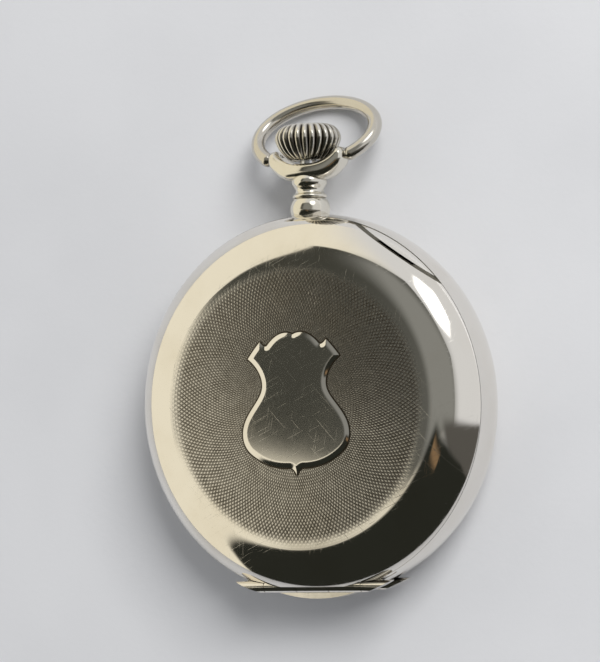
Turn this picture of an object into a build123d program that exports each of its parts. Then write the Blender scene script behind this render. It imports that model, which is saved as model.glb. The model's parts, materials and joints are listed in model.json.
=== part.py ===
from build123d import *
import os
from math import asin, atan2, cos, degrees, hypot, pi, radians, sin, sqrt

# Hunter pocket watch, in millimetres. The watch lies on its back cover: +Z is up through the
# front cover, +Y runs to the pendant, and the cover hinges are at -Y. The origin is the middle
# of the flat on the back cover that it rests on.

# Case: driving sizes
CASE_RADIUS = 25.5          # widest part of the middle band
BAND_CURVE = 0.36           # the band's edges stand this far in from its widest part
SEAM_RADIUS = CASE_RADIUS - BAND_CURVE
MID_Z = 7.0                 # height of the widest part, and of the stem and the bow's pivots
BAND_HALF = 2.65            # band height above and below the widest part
FRONT_RISE = 3.85           # top of the front cover's dome, above its seam
BACK_SAG = 0.2              # how much of the back dome is worn flat as the resting face
ROLL_RADIUS = 7.34          # rounded edge of both covers
ROLL_SLOPE = 31.4           # outward slope of the cover surface where it meets the seam, degrees
COVER_WALL = 0.5
SEAM_GAP = 0.06
LIP_WIDTH = 1.1
LIP_HEIGHT = 0.5

# Raised shield on the front cover
SHIELD_TOP = 9.3
SHIELD_BOTTOM = -9.25
SHIELD_RAISE = 0.22

# Dust cap: how far it lies inside the back cover's outer surface
CAP_INSET = 0.85
CAP_WALL = 0.3
CAP_RIM_LIFT = 0.45
CAP_HINGE_GAP = 1.1

# Hinges
HINGE_INSET = 1.04          # the hinge's axis, in from the seam's edge
HINGE_Y = HINGE_INSET - SEAM_RADIUS
KNUCKLE_RADIUS = 0.8
KNUCKLE_GAP = 0.1
HINGE_HALF = 12.0
HINGE_PROUD = 0.6           # the hinge's ends are turned off this far outside the band
PIN_HALF = 8.0
SWELL_PROUD = 0.43          # the band swells this far behind the hinges
SWELL_SHIFT = 6.0           # the swelling's own centre, towards the hinge
PIN_RADIUS = 0.4
PIN_CLEARANCE = 0.05
WEB_DEPTH = 0.7
WEB_REACH = 2.2
WEB_HEIGHT = 1.2

# Opening lip: the cover's edge is cut off straight here, and the middle rises beside the cut
LIP_ANGLE = 54.7
LIP_CUT_DEPTH = 1.29
LIP_CLEARANCE = 0.35
LIP_INSET = 0.1

# Springs in the middle, which hold and lift the front cover
POCKET_INNER, POCKET_OUTER = CASE_RADIUS - 3.1, CASE_RADIUS - 1.2
POCKET_LOW, POCKET_HIGH = MID_Z - 1.7, MID_Z + 1.5
SPRING_RADIUS = CASE_RADIUS - 2.3
SPRING_THICK = 0.5
SPRING_LOW, SPRING_HIGH = POCKET_LOW + 0.2, POCKET_HIGH - 0.3
SPRING_REACH = 55.0         # foot of either spring, this far round from its nose
NOSE_HALF = 1.6
NOSE_INNER, NOSE_OUTER = SPRING_RADIUS + 0.25, SPRING_RADIUS + 0.75
NOSE_OVERLAP = 0.45         # height of the nose above the seam
FOOT_SCREW_RADIUS = 0.45

# Pendant, crown and bow
NECK_LENGTH = 7.8
PIVOT_Y = CASE_RADIUS + NECK_LENGTH
PENDANT_ROOT = 1.95
HORN_HALF = 5.64
BOW_HALF_WIDTH = 8.69
BOW_HALF_LENGTH = 5.8
BOW_CENTRE = 4.03           # middle of the bow's oval, beyond its pivots
BOW_WIRE = 0.95
BOW_GAP = 0.04              # the bow's far end, above the table
BOW_TILT = degrees(asin((MID_Z - BOW_WIRE - BOW_GAP) / (BOW_CENTRE + BOW_HALF_LENGTH)))
BOW_PIN_RADIUS = 0.5
CROWN_RADIUS = 4.46
CROWN_BOTTOM = PIVOT_Y - 0.55
CROWN_HEIGHT = 4.8
CROWN_FLUTES = 26
FLUTE_RADIUS = 0.3
CROWN_PUSH = 0.4            # travel that frees the front cover
SLEEVE_RADIUS = 1.2
STEM_RADIUS = 0.7
STEM_TAIL = 1.1             # inner bearing of the stem, beyond its pinion
STEM_END_GAP = 0.2

# Movement seat, dial and glass
LEDGE_DEPTH = 4.4           # the movement's ledge, in from the band
LEDGE_RADIUS = CASE_RADIUS - LEDGE_DEPTH
LEDGE_WIDTH = 0.6
LEDGE_LOW = MID_Z - 1.1
LEDGE_HIGH = MID_Z + 0.3
PLATE_CLEARANCE = 0.1
PLATE_TOP = LEDGE_HIGH + 0.5
BRIDGE_INNER = LEDGE_LOW - 2.8
BRIDGE_THICK = 1.0
BRIDGE_RADIUS = LEDGE_RADIUS - 1.5
BEZEL_RADIUS = CASE_RADIUS - 2.65
BEZEL_FIT = 0.05
BEZEL_SEAT = MID_Z + 1.9
BEZEL_TOP = BEZEL_SEAT + 2.1
BEZEL_GROOVE = 1.1          # depth of the glass's seat below the bezel's top
GLASS_RADIUS = BEZEL_RADIUS - 0.85
GLASS_EDGE = 0.7
GLASS_THICK = 0.6
GLASS_RISE = 0.9
DIAL_RADIUS = LEDGE_RADIUS + 0.3
DIAL_LOW = PLATE_TOP + 0.8
DIAL_THICK = 0.4
SECONDS_RADIUS = 5.2
SECONDS_DISTANCE = 11.0     # small seconds dial, from the middle of the dial
SECONDS_SINK = 0.3
HOUR_TUBE, CANNON_TUBE = 0.8, 0.5
SECONDS_LEVEL = DIAL_LOW + 0.46
HOUR_LEVEL = DIAL_LOW + 0.75
MINUTE_LEVEL = HOUR_LEVEL + 0.35
HAND_THICK = 0.12

# Wheel train: teeth and module of each pair
BARREL_TEETH, CENTRE_PINION, BARREL_MODULE = 78, 12, 0.2
CENTRE_TEETH, THIRD_PINION, CENTRE_MODULE = 80, 10, 0.16
THIRD_TEETH, FOURTH_PINION, THIRD_MODULE = 75, 10, 0.14
FOURTH_TEETH, ESCAPE_PINION, FOURTH_MODULE = 70, 7, 0.13
CANNON_TEETH, MINUTE_TEETH, MINUTE_MODULE = 12, 36, 0.15
MINUTE_PINION, HOUR_TEETH, HOUR_MODULE = 10, 40, 0.144
CROWN_WHEEL_TEETH, IDLER_TEETH, RATCHET_TEETH, WIND_MODULE = 20, 19, 27, 0.3
WIND_PINION_TEETH, WIND_PINION_RADIUS, WIND_PINION_LENGTH = 12, 1.4, 1.6
ESCAPE_TEETH = 15
ESCAPE_RADIUS = 3.2
PALLET_SPAN = ESCAPE_RADIUS + 1.35
FORK_SPAN = 7.3
BALANCE_RADIUS = 5.8
PIVOT_RADIUS = 0.2
ARBOR_RADIUS = 0.35
JEWEL_RADIUS = 0.75
JEWEL_CLEARANCE = 0.04
POST_RADIUS = 0.3
POST_CLEARANCE = 0.05
SCREW_SHANK = 0.4
SCREW_HEAD = 0.8

# Heights of what turns, above the inner face of the bridges
BARREL_SPAN = (1.0, 2.5)
CENTRE_WHEEL_SPAN, CENTRE_PINION_SPAN = (0.3, 0.6), (1.9, 2.65)
THIRD_WHEEL_SPAN, THIRD_PINION_SPAN = (2.1, 2.35), (0.2, 1.0)
FOURTH_WHEEL_SPAN, FOURTH_PINION_SPAN = (0.8, 1.05), (1.9, 2.6)
ESCAPE_WHEEL_SPAN, ESCAPE_PINION_SPAN = (1.78, 2.02), (0.6, 1.4)
BALANCE_SPAN, ROLLER_SPAN = (0.4, 0.9), (1.45, 1.65)
HAIRSPRING_SPAN = (0.08, 0.28)

FRONT_SEAM = MID_Z + BAND_HALF
BACK_SEAM = MID_Z - BAND_HALF
ROLL_CENTRE = SEAM_RADIUS - ROLL_RADIUS * cos(radians(ROLL_SLOPE))
ROLL_DROP = ROLL_RADIUS * sin(radians(ROLL_SLOPE))
FRONT_TOP = FRONT_SEAM + FRONT_RISE
PENDANT_AXIS = Axis((0, 0, MID_Z), (0, 1, 0))


def ring(outer, inner, low, high, at=(0, 0)):
    """A flat washer about a vertical axis, or a disc when inner is 0."""
    face = Circle(outer) - Circle(inner) if inner else Circle(outer)
    return Pos(at[0], at[1], low) * extrude(face, high - low)


def block(x0, x1, y0, y1, z0, z1):
    return Pos((x0 + x1) / 2, (y0 + y1) / 2, (z0 + z1) / 2) * Box(x1 - x0, y1 - y0, z1 - z0)


def rod_x(radius, x0, x1, y, z):
    return Pos((x0 + x1) / 2, y, z) * Rot(0, 90, 0) * Cylinder(radius, x1 - x0)


def rod_y(radius, y0, y1, x=0.0, z=MID_Z):
    return Pos(x, (y0 + y1) / 2, z) * Rot(90, 0, 0) * Cylinder(radius, y1 - y0)


def spun(points):
    """Turns an outline of (radius, height) points about the watch's own axis."""
    return revolve(Plane.XZ * make_face(Polyline(*points, close=True)), Axis.Z)


def polar(distance, angle):
    return distance * cos(radians(angle)), distance * sin(radians(angle))


def toward(start, end):
    return degrees(atan2(end[1] - start[1], end[0] - start[0]))


def meeting_point(a, from_a, b, from_b, side):
    """The point at from_a from a and from_b from b, on the chosen side of the line a to b."""
    apart = hypot(b[0] - a[0], b[1] - a[1])
    along = (from_a ** 2 - from_b ** 2 + apart ** 2) / (2 * apart)
    across = side * sqrt(max(from_a ** 2 - along ** 2, 0))
    ux, uy = (b[0] - a[0]) / apart, (b[1] - a[1]) / apart
    return a[0] + ux * along - uy * across, a[1] + uy * along + ux * across


# ---------------------------------------------------------------- toothed wheels

def toothed(teeth, module, tooth_at, addendum=0.7, dedendum=1.2):
    """The flat outline of a wheel with the middle of one tooth at the angle tooth_at."""
    pitch = 360 / teeth
    root, tip = module * (teeth / 2 - dedendum), module * (teeth / 2 + addendum)
    corners = []
    for index in range(teeth):
        middle = tooth_at + index * pitch
        for share, radius in ((-0.29, root), (-0.1, tip), (0.1, tip), (0.29, root)):
            corners.append(polar(radius, middle + share * pitch))
    return make_face(Polyline(*corners, close=True))


def crossed_wheel(teeth, module, tooth_at, low, high, at, arms=5):
    """A train wheel with its rim and arms cut out of a toothed disc."""
    rim = module * (teeth / 2 - 3.2)
    hub = max(0.24 * rim, 0.9)
    face = toothed(teeth, module, tooth_at)
    window = Circle(rim) - Circle(hub)
    for index in range(arms):
        window -= Rot(0, 0, index * 360 / arms) * Pos(rim / 2, 0) * Rectangle(rim * 1.2, 0.5)
    return Pos(at[0], at[1], low) * extrude(face - window, high - low)


def pinion(teeth, module, tooth_at, low, high, at):
    return Pos(at[0], at[1], low) * extrude(toothed(teeth, module, tooth_at), high - low)


def arbor(at, low=BRIDGE_INNER - 0.35, high=LEDGE_LOW + 0.35):
    """A staff between the plates, with a thin pivot at each end."""
    staff = ring(ARBOR_RADIUS, 0, BRIDGE_INNER + 0.05, LEDGE_LOW - 0.05, at)
    return staff + ring(PIVOT_RADIUS, 0, low, high, at)


def spiral_strip(inner, outer, turns, thick, low, high, at):
    """A flat spring wound as an even spiral."""
    steps = int(turns * 20)
    inside, outside = [], []
    for index in range(steps + 1):
        radius = inner + (outer - inner) * index / steps
        angle = 360 * turns * index / steps
        inside.append(polar(radius, angle))
        outside.append(polar(radius + thick, angle))
    face = make_face(Polyline(*inside, *reversed(outside), close=True))
    return Pos(at[0], at[1], low) * extrude(face, high - low)


# ---------------------------------------------------------------- places in the train

CENTRE = (0.0, 0.0)
FOURTH = (SECONDS_DISTANCE, 0.0)
BARREL = (-BARREL_MODULE * (BARREL_TEETH + CENTRE_PINION) / 2, 0.0)
THIRD = meeting_point(
    CENTRE, CENTRE_MODULE * (CENTRE_TEETH + THIRD_PINION) / 2,
    FOURTH, THIRD_MODULE * (THIRD_TEETH + FOURTH_PINION) / 2, -1)
ESCAPE_REACH = polar(FOURTH_MODULE * (FOURTH_TEETH + ESCAPE_PINION) / 2, -20)
ESCAPE = (FOURTH[0] + ESCAPE_REACH[0], FOURTH[1] + ESCAPE_REACH[1])
BALANCE = (SECONDS_DISTANCE - 2.0, -11.5)
PALLET = meeting_point(ESCAPE, PALLET_SPAN, BALANCE, FORK_SPAN, 1)
MINUTE = (0.0, -MINUTE_MODULE * (CANNON_TEETH + MINUTE_TEETH) / 2)
CROWN_WHEEL = (0.0, -BARREL[0])
IDLER = meeting_point(
    CROWN_WHEEL, WIND_MODULE * (CROWN_WHEEL_TEETH + IDLER_TEETH) / 2,
    BARREL, WIND_MODULE * (IDLER_TEETH + RATCHET_TEETH) / 2, 1)
CLICK = (BARREL[0] - 3.4, -5.2)
WIND_LOW, WIND_HIGH = PLATE_TOP + 0.05, PLATE_TOP + 0.45
WIND_PINION_Y = CROWN_WHEEL[1] + WIND_MODULE * (CROWN_WHEEL_TEETH / 2 + 1) + CROWN_PUSH + 0.06


# ---------------------------------------------------------------- covers

def dome_radius(depth):
    """Radius of the flat dome that runs smoothly into the rolled edge, depth above its centre."""
    return (depth ** 2 + ROLL_CENTRE ** 2 - ROLL_RADIUS ** 2) / (2 * (depth - ROLL_RADIUS))


def cover_face(depth, inset, floor):
    """Half section of the space under a cover, inset from its outer surface.

    Heights are above the centre of the rolled edge. The section ends at the height floor.
    """
    dome = dome_radius(depth)
    dome_centre = depth - dome
    lean = degrees(atan2(-dome_centre, ROLL_CENTRE))
    roll = ROLL_RADIUS - inset
    low = degrees(asin(floor / roll))
    edge = ROLL_CENTRE + roll * cos(radians(low))
    crown_arc = CenterArc((0, dome_centre), dome - inset, lean, 90 - lean)
    roll_arc = CenterArc((ROLL_CENTRE, 0), roll, low, lean - low)
    rest = Polyline((0, depth - inset), (0, floor), (edge, floor))
    return make_face([*crown_arc.edges(), *roll_arc.edges(), *rest.edges()])


def cover_space(depth, inset, floor=ROLL_DROP):
    """The solid space under a front cover whose rolled edge is centred at height 0."""
    return revolve(Plane.XZ * cover_face(depth, inset, floor), Axis.Z)


def knuckle_spans(on_cover):
    """The stretches of the hinge that the cover's or the case's knuckles take."""
    step = HINGE_HALF / 5
    starts = (-3, 1) if on_cover else (-5, -1, 3)
    return [(start * step, (start + 2) * step) for start in starts]


def cover_shell(depth, knuckle_z):
    """A cover with its inner lip and hinge knuckles, in front-cover position above z = 0."""
    floor = ROLL_DROP + SEAM_GAP
    outer = cover_space(depth, 0, floor)
    shell = outer - cover_space(depth, COVER_WALL, floor)
    lip_inner = SEAM_RADIUS - LIP_WIDTH
    lip = ring(SEAM_RADIUS, lip_inner, floor, floor + LIP_HEIGHT) & outer
    shell = shell + lip
    shell -= block(-HINGE_HALF, HINGE_HALF, HINGE_Y - 3, HINGE_Y, 0, depth)
    for x0, x1 in knuckle_spans(False):
        shell -= rod_x(KNUCKLE_RADIUS + KNUCKLE_GAP, x0 - KNUCKLE_GAP, x1 + KNUCKLE_GAP, HINGE_Y, knuckle_z)
    thick = outer - cover_space(depth, WEB_DEPTH, floor)
    for x0, x1 in knuckle_spans(True):
        x0, x1 = x0 + KNUCKLE_GAP / 2, x1 - KNUCKLE_GAP / 2
        web = block(x0, x1, HINGE_Y, HINGE_Y + WEB_REACH, floor, floor + WEB_HEIGHT)
        shell += web & thick
        shell += rod_x(KNUCKLE_RADIUS, x0, x1, HINGE_Y, knuckle_z)
    return shell - rod_x(PIN_RADIUS + PIN_CLEARANCE, -HINGE_HALF, HINGE_HALF, HINGE_Y, knuckle_z)


def shield_outline():
    """The raised cartouche: scalloped top, narrow waist and a full lower body with a point."""
    notch, dip, horn, tip = (0, SHIELD_TOP), (3.87, 7.94), (4.93, 8.5), (6.8, 6.3)
    corner, ogee = (6.65, -6.34), (1.0, -8.25)
    right = [
        ThreePointArc(notch, (1.9, SHIELD_TOP + 0.1), dip),
        ThreePointArc(dip, (4.45, 8.0), horn),
        Line(horn, tip),
        Spline(tip, (4.72, 3.3), (5.65, 0.42), (7.8, -3.55), corner, tangents=((-1, -0.9), (-0.7, -1))),
        ThreePointArc(corner, (4.3, -8.15), ogee),
        ThreePointArc(ogee, (0.35, -8.55), (0, SHIELD_BOTTOM)),
    ]
    left = [mirror(edge, Plane.YZ) for edge in right]
    edges = [edge for curve in right + left for edge in curve.edges()]
    return make_face(edges)


def front_cover():
    roll_z = FRONT_SEAM - ROLL_DROP
    depth = FRONT_TOP - roll_z
    cover = Pos(0, 0, roll_z) * cover_shell(depth, ROLL_DROP)
    raised = Pos(0, 0, roll_z) * (cover_space(depth, -SHIELD_RAISE) - cover_space(depth, COVER_WALL / 2))
    shield = Pos(0, 0, FRONT_TOP - 2) * extrude(shield_outline(), 4) & raised
    return cover + shield - lip_side(0)


def lip_side(clearance):
    """Everything outside the straight cut beside the opening lip."""
    start, half = SEAM_RADIUS - LIP_CUT_DEPTH + clearance, CASE_RADIUS / 2
    return Rot(0, 0, LIP_ANGLE) * block(start, CASE_RADIUS + 1, -half, half, FRONT_SEAM, FRONT_TOP)


def opening_lip():
    """The middle's own rounded lip, which carries on the cover's edge beyond the cut."""
    roll_z = FRONT_SEAM - ROLL_DROP
    space = Pos(0, 0, roll_z) * cover_space(FRONT_TOP - roll_z, LIP_INSET)
    return (space & lip_side(LIP_CLEARANCE)) - ring(BEZEL_RADIUS + 0.3, 0, FRONT_SEAM - 1, FRONT_TOP)


def back_cover():
    roll_z = FRONT_SEAM - ROLL_DROP
    depth = 2 * MID_Z - roll_z + BACK_SAG
    upright = Pos(0, 0, roll_z) * cover_shell(depth, ROLL_DROP)
    upright -= block(-CASE_RADIUS, CASE_RADIUS, -CASE_RADIUS, CASE_RADIUS, 2 * MID_Z, 2 * MID_Z + 1)
    return mirror(upright, Plane.XY.offset(MID_Z))


def dust_cap():
    """Inner cap over the movement, snapped on under the back cover."""
    roll_z = FRONT_SEAM - ROLL_DROP
    depth = 2 * MID_Z - roll_z + BACK_SAG
    floor = ROLL_DROP + CAP_RIM_LIFT
    cap = cover_space(depth, CAP_INSET, floor) - cover_space(depth, CAP_INSET + CAP_WALL, floor)
    cap = Pos(0, 0, roll_z) * cap
    cap -= block(-CASE_RADIUS, CASE_RADIUS, HINGE_Y - 3, HINGE_Y + CAP_HINGE_GAP, 0, 2 * MID_Z + 1)
    return mirror(cap, Plane.XY.offset(MID_Z))


def hinge_pin(seam):
    return rod_x(PIN_RADIUS, -PIN_HALF, PIN_HALF, HINGE_Y, seam)


# ---------------------------------------------------------------- case middle

def sector(inner, outer, start, end, low, high):
    """Part of a washer from one angle to another."""
    wide = outer * 2
    span = end - start
    corners = [(0, 0), polar(wide, start), polar(wide, start + span / 2), polar(wide, end)]
    wedge = make_face(Polyline(*corners, close=True))
    return Pos(0, 0, low) * extrude((Circle(outer) - Circle(inner)) & wedge, high - low)


def middle_body():
    """The turned ring before the hinge and spring cuts."""
    wide = LEDGE_RADIUS + LEDGE_WIDTH
    seat = BEZEL_RADIUS + BEZEL_FIT
    band = ThreePointArc((SEAM_RADIUS, BACK_SEAM), (CASE_RADIUS, MID_Z), (SEAM_RADIUS, FRONT_SEAM))
    inside = Polyline(
        (SEAM_RADIUS, FRONT_SEAM), (seat, FRONT_SEAM), (seat, BEZEL_SEAT), (wide, BEZEL_SEAT),
        (wide, LEDGE_HIGH), (LEDGE_RADIUS, LEDGE_HIGH), (LEDGE_RADIUS, LEDGE_LOW), (wide, LEDGE_LOW),
        (wide, BACK_SEAM - 0.4), (wide + 1.45, BACK_SEAM - 0.4), (wide + 1.45, BACK_SEAM),
        (SEAM_RADIUS, BACK_SEAM))
    return revolve(Plane.XZ * make_face([*band.edges(), *inside.edges()]), Axis.Z)


def hinge_cut():
    """The gutter across the front edge of the middle that the hinge lies in."""
    reach = KNUCKLE_RADIUS + KNUCKLE_GAP
    half = HINGE_HALF + PIN_CLEARANCE
    return block(-half, half, HINGE_Y - 3, HINGE_Y + reach, FRONT_SEAM - reach, FRONT_SEAM + 1)


def case_knuckles():
    """The middle's own knuckles, on feet that reach back into the band under the gutter."""
    reach = KNUCKLE_RADIUS + KNUCKLE_GAP
    low = FRONT_SEAM - reach
    rods, feet = [], []
    for x0, x1 in knuckle_spans(False):
        x0, x1 = x0 + KNUCKLE_GAP / 2, x1 - KNUCKLE_GAP / 2
        rods.append(rod_x(KNUCKLE_RADIUS, x0, x1, HINGE_Y, FRONT_SEAM))
        feet.append(block(x0, x1, HINGE_Y - 0.5, HINGE_Y + reach, low - 0.6, FRONT_SEAM - 0.1))
        ear = block(x0, x1, HINGE_Y - 0.5, HINGE_Y + 3.2, low - 0.6, low + 0.35)
        feet.append(ear - ring(SEAM_RADIUS - 0.6, 0, low - 2, low + 2))
    built = None
    for pieces, limit in ((rods, CASE_RADIUS + HINGE_PROUD), (feet, SEAM_RADIUS + BAND_CURVE / 2)):
        for piece in pieces:
            trimmed = piece & ring(limit, 0, 0, 2 * MID_Z)
            built = trimmed if built is None else built + trimmed
    pin_reach = PIN_HALF + KNUCKLE_GAP
    return built - rod_x(PIN_RADIUS + PIN_CLEARANCE, -pin_reach, pin_reach, HINGE_Y, FRONT_SEAM)


def joint_swelling():
    """The thicker stretch of band that the hinge gutters are cut in."""
    wide, edge = CASE_RADIUS + SWELL_PROUD - SWELL_SHIFT, SEAM_RADIUS + SWELL_PROUD - SWELL_SHIFT
    inner = BEZEL_RADIUS + 0.8 - SWELL_SHIFT
    band = ThreePointArc((edge, BACK_SEAM), (wide, MID_Z), (edge, FRONT_SEAM))
    rest = Polyline((edge, FRONT_SEAM), (inner, FRONT_SEAM), (inner, BACK_SEAM), (edge, BACK_SEAM))
    whole = revolve(Plane.XZ * make_face([*band.edges(), *rest.edges()]), Axis.Z)
    near_hinge = block(-HINGE_HALF, HINGE_HALF, HINGE_Y - 3, HINGE_Y + 2.5, 0, 2 * MID_Z)
    return (Pos(0, -SWELL_SHIFT, 0) * whole) & near_hinge


def case_middle():
    middle = middle_body() + joint_swelling() + opening_lip()
    flipped = Plane.XY.offset(MID_Z)
    cut, knuckles = hinge_cut(), case_knuckles()
    middle = middle - cut - mirror(cut, flipped)
    middle = middle + knuckles + mirror(knuckles, flipped)
    middle -= sector(POCKET_INNER, POCKET_OUTER, 90 - SPRING_REACH - 4, 90 + 9, POCKET_LOW, POCKET_HIGH)
    middle -= sector(POCKET_INNER, POCKET_OUTER, -90 - SPRING_REACH - 4, -90 - 28, POCKET_LOW, POCKET_HIGH)
    slot = NOSE_HALF + 0.5
    slot_start = NOSE_INNER - CROWN_PUSH - 0.1
    middle -= block(-slot, slot, slot_start, NOSE_OUTER + 0.1, POCKET_HIGH - 0.1, FRONT_SEAM + 1)
    middle -= rod_y(SLEEVE_RADIUS + 0.05, POCKET_INNER + 0.2, CASE_RADIUS + 1)
    middle -= rod_y(STEM_RADIUS + 0.2, LEDGE_RADIUS - 1, POCKET_OUTER)
    middle -= rod_y(PENDANT_ROOT + 0.02, POCKET_OUTER + 0.3, CASE_RADIUS + 1)
    for foot in spring_feet():
        middle -= ring(FOOT_SCREW_RADIUS, 0, POCKET_LOW - 0.6, POCKET_HIGH, foot)
    return middle


def spring_feet():
    middle_radius = SPRING_RADIUS + SPRING_THICK / 2
    return [polar(middle_radius, 90 - SPRING_REACH), polar(middle_radius, -90 - SPRING_REACH)]


def leaf_spring(start, end, foot):
    """A curved steel leaf on edge, with an eye round its foot screw."""
    leaf = sector(SPRING_RADIUS, SPRING_RADIUS + SPRING_THICK, start, end, SPRING_LOW, SPRING_HIGH)
    eye = ring(FOOT_SCREW_RADIUS + 0.4, 0, SPRING_LOW, SPRING_HIGH, foot)
    return leaf + eye - ring(FOOT_SCREW_RADIUS + 0.05, 0, SPRING_LOW - 1, SPRING_HIGH + 1, foot)


def lock_spring():
    foot = spring_feet()[0]
    spring = leaf_spring(90 - SPRING_REACH, 96, foot)
    nose = block(-NOSE_HALF, NOSE_HALF, NOSE_INNER, NOSE_OUTER, SPRING_HIGH - 1.2, FRONT_SEAM + NOSE_OVERLAP)
    nose += block(-NOSE_HALF, NOSE_HALF, SPRING_RADIUS, NOSE_OUTER, SPRING_HIGH - 1.0, SPRING_HIGH)
    return spring + nose - rod_y(STEM_RADIUS + 0.4, SPRING_RADIUS - 1, NOSE_OUTER + 1)


def lift_spring():
    return leaf_spring(-90 - SPRING_REACH, -90 - 32, spring_feet()[1])


def spring_screws():
    low, high = POCKET_LOW - 0.6, SPRING_HIGH + 0.1
    return [ring(FOOT_SCREW_RADIUS, 0, low, high, foot) for foot in spring_feet()]


# ---------------------------------------------------------------- pendant, crown and bow

def about_pendant(edges):
    """Turns an outline of distance from the pendant's axis against Y about that axis."""
    return revolve(Plane.XY.offset(MID_Z) * make_face(edges), PENDANT_AXIS)


def crown_profile(grow=0.0, drop=0.0):
    """The crown's onion outline, grown outward and stretched down for its recess."""
    y0 = CROWN_BOTTOM - drop
    wide, top = CROWN_RADIUS + grow, CROWN_BOTTOM + CROWN_HEIGHT + grow
    belly = y0 + 0.6 * CROWN_HEIGHT
    side = ThreePointArc((0.5 * wide, y0), (0.84 * wide, y0 + 0.27 * CROWN_HEIGHT), (wide, belly))
    shoulder = ThreePointArc((wide, belly), (0.9 * wide, top - 0.14 * CROWN_HEIGHT), (0.62 * wide, top))
    rest = Polyline((0.62 * wide, top), (0, top), (0, y0), (0.5 * wide, y0))
    return [*side.edges(), *shoulder.edges(), *rest.edges()]


def crown():
    body = about_pendant(crown_profile())
    cutter = rod_y(FLUTE_RADIUS, CROWN_BOTTOM - 1, CROWN_BOTTOM + CROWN_HEIGHT + 1, CROWN_RADIUS + 0.02)
    lean = Pos(CROWN_RADIUS, CROWN_BOTTOM + 0.6 * CROWN_HEIGHT, MID_Z)
    tapered = lean * Rot(0, 0, -27) * Pos(0.05, -2, 0) * Rot(90, 0, 0) * Cylinder(FLUTE_RADIUS, 4.4)
    for index in range(CROWN_FLUTES):
        spin = Pos(0, 0, MID_Z) * Rot(0, index * 360 / CROWN_FLUTES, 0) * Pos(0, 0, -MID_Z)
        body = body - spin * cutter - spin * tapered
    return body - rod_y(STEM_RADIUS, CROWN_BOTTOM - 1, CROWN_BOTTOM + CROWN_HEIGHT - 1.2)


def pendant():
    base = CASE_RADIUS - 0.5
    root = POCKET_OUTER + 0.3
    outline = [
        Polyline((0, root), (PENDANT_ROOT, root), (PENDANT_ROOT, base), (2.5, base)),
        ThreePointArc((2.5, base), (2.66, base + 1.3), (2.1, base + 2.6)),
        ThreePointArc((2.1, base + 2.6), (2.3, base + 2.9), (2.05, base + 3.2)),
        ThreePointArc((2.05, base + 3.2), (1.92, base + 3.6), (2.0, base + 4.1)),
        ThreePointArc((2.0, base + 4.1), (2.38, base + 4.85), (2.1, base + 5.6)),
        Polyline((2.1, base + 5.6), (2.1, base + 6.6), (0, base + 6.6), (0, root)),
    ]
    neck = about_pendant([edge for curve in outline for edge in curve.edges()])
    head = pendant_head()
    whole = neck + head - about_pendant(crown_profile(0.25, CROWN_PUSH + 0.15))
    whole -= rod_y(SLEEVE_RADIUS + 0.05, base - 1, CROWN_BOTTOM + 2)
    for side in (-1, 1):
        hole = sorted((side * (HORN_HALF - 1.7), side * (HORN_HALF + 1)))
        whole -= rod_x(BOW_PIN_RADIUS + 0.05, hole[0], hole[1], PIVOT_Y, MID_Z)
    return whole - ring_of_middle()


def ring_of_middle():
    """The band's outer shape with a hair of clearance, for the pendant's foot to fit round."""
    edge, wide, inner = SEAM_RADIUS + 0.02, CASE_RADIUS + 0.02, CASE_RADIUS - 5.5
    band = ThreePointArc((edge, BACK_SEAM), (wide, MID_Z), (edge, FRONT_SEAM))
    rest = Polyline((edge, FRONT_SEAM), (inner, FRONT_SEAM), (inner, BACK_SEAM), (edge, BACK_SEAM))
    solid = revolve(Plane.XZ * make_face([*band.edges(), *rest.edges()]), Axis.Z)
    return solid - rod_y(PENDANT_ROOT, inner, CASE_RADIUS + 2)


def pendant_head():
    """The boat-shaped head whose two horns carry the bow."""
    low, high = PIVOT_Y - 3.3, PIVOT_Y + 1.0
    right = [
        ThreePointArc((2.0, low), (4.25, low + 0.85), (HORN_HALF, PIVOT_Y - 1.0)),
        Line((HORN_HALF, PIVOT_Y - 1.0), (HORN_HALF, PIVOT_Y + 0.45)),
        ThreePointArc((HORN_HALF, PIVOT_Y + 0.45), (HORN_HALF - 0.35, high - 0.1), (HORN_HALF - 1.0, high)),
        ThreePointArc((HORN_HALF - 1.0, high), (2.6, PIVOT_Y - 0.3), (0, PIVOT_Y - 0.65)),
    ]
    left = [mirror(edge, Plane.YZ) for edge in right]
    edges = [edge for curve in right + left for edge in curve.edges()]
    edges += Line((-2.0, low), (2.0, low)).edges()
    front = Pos(0, 0, MID_Z - 3) * extrude(make_face(edges), 6)
    thick, thin = 2.3, 1.5
    bulge_up = ThreePointArc((-HORN_HALF, thin), (0, thick), (HORN_HALF, thin))
    bulge_down = ThreePointArc((HORN_HALF, -thin), (0, -thick), (-HORN_HALF, -thin))
    ends = [Line((HORN_HALF, thin), (HORN_HALF, -thin)), Line((-HORN_HALF, -thin), (-HORN_HALF, thin))]
    plan_edges = [*bulge_up.edges(), *bulge_down.edges(), *ends[0].edges(), *ends[1].edges()]
    plan = extrude(Plane.XZ * make_face(plan_edges), -2 * PIVOT_Y)
    side = extrude(Plane.YZ * RectangleRounded(high - low, 2 * thick, 0.8), HORN_HALF + 1, both=True)
    return front & (Pos(0, 0, MID_Z) * plan) & (Pos(0, (low + high) / 2, MID_Z) * side)


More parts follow.
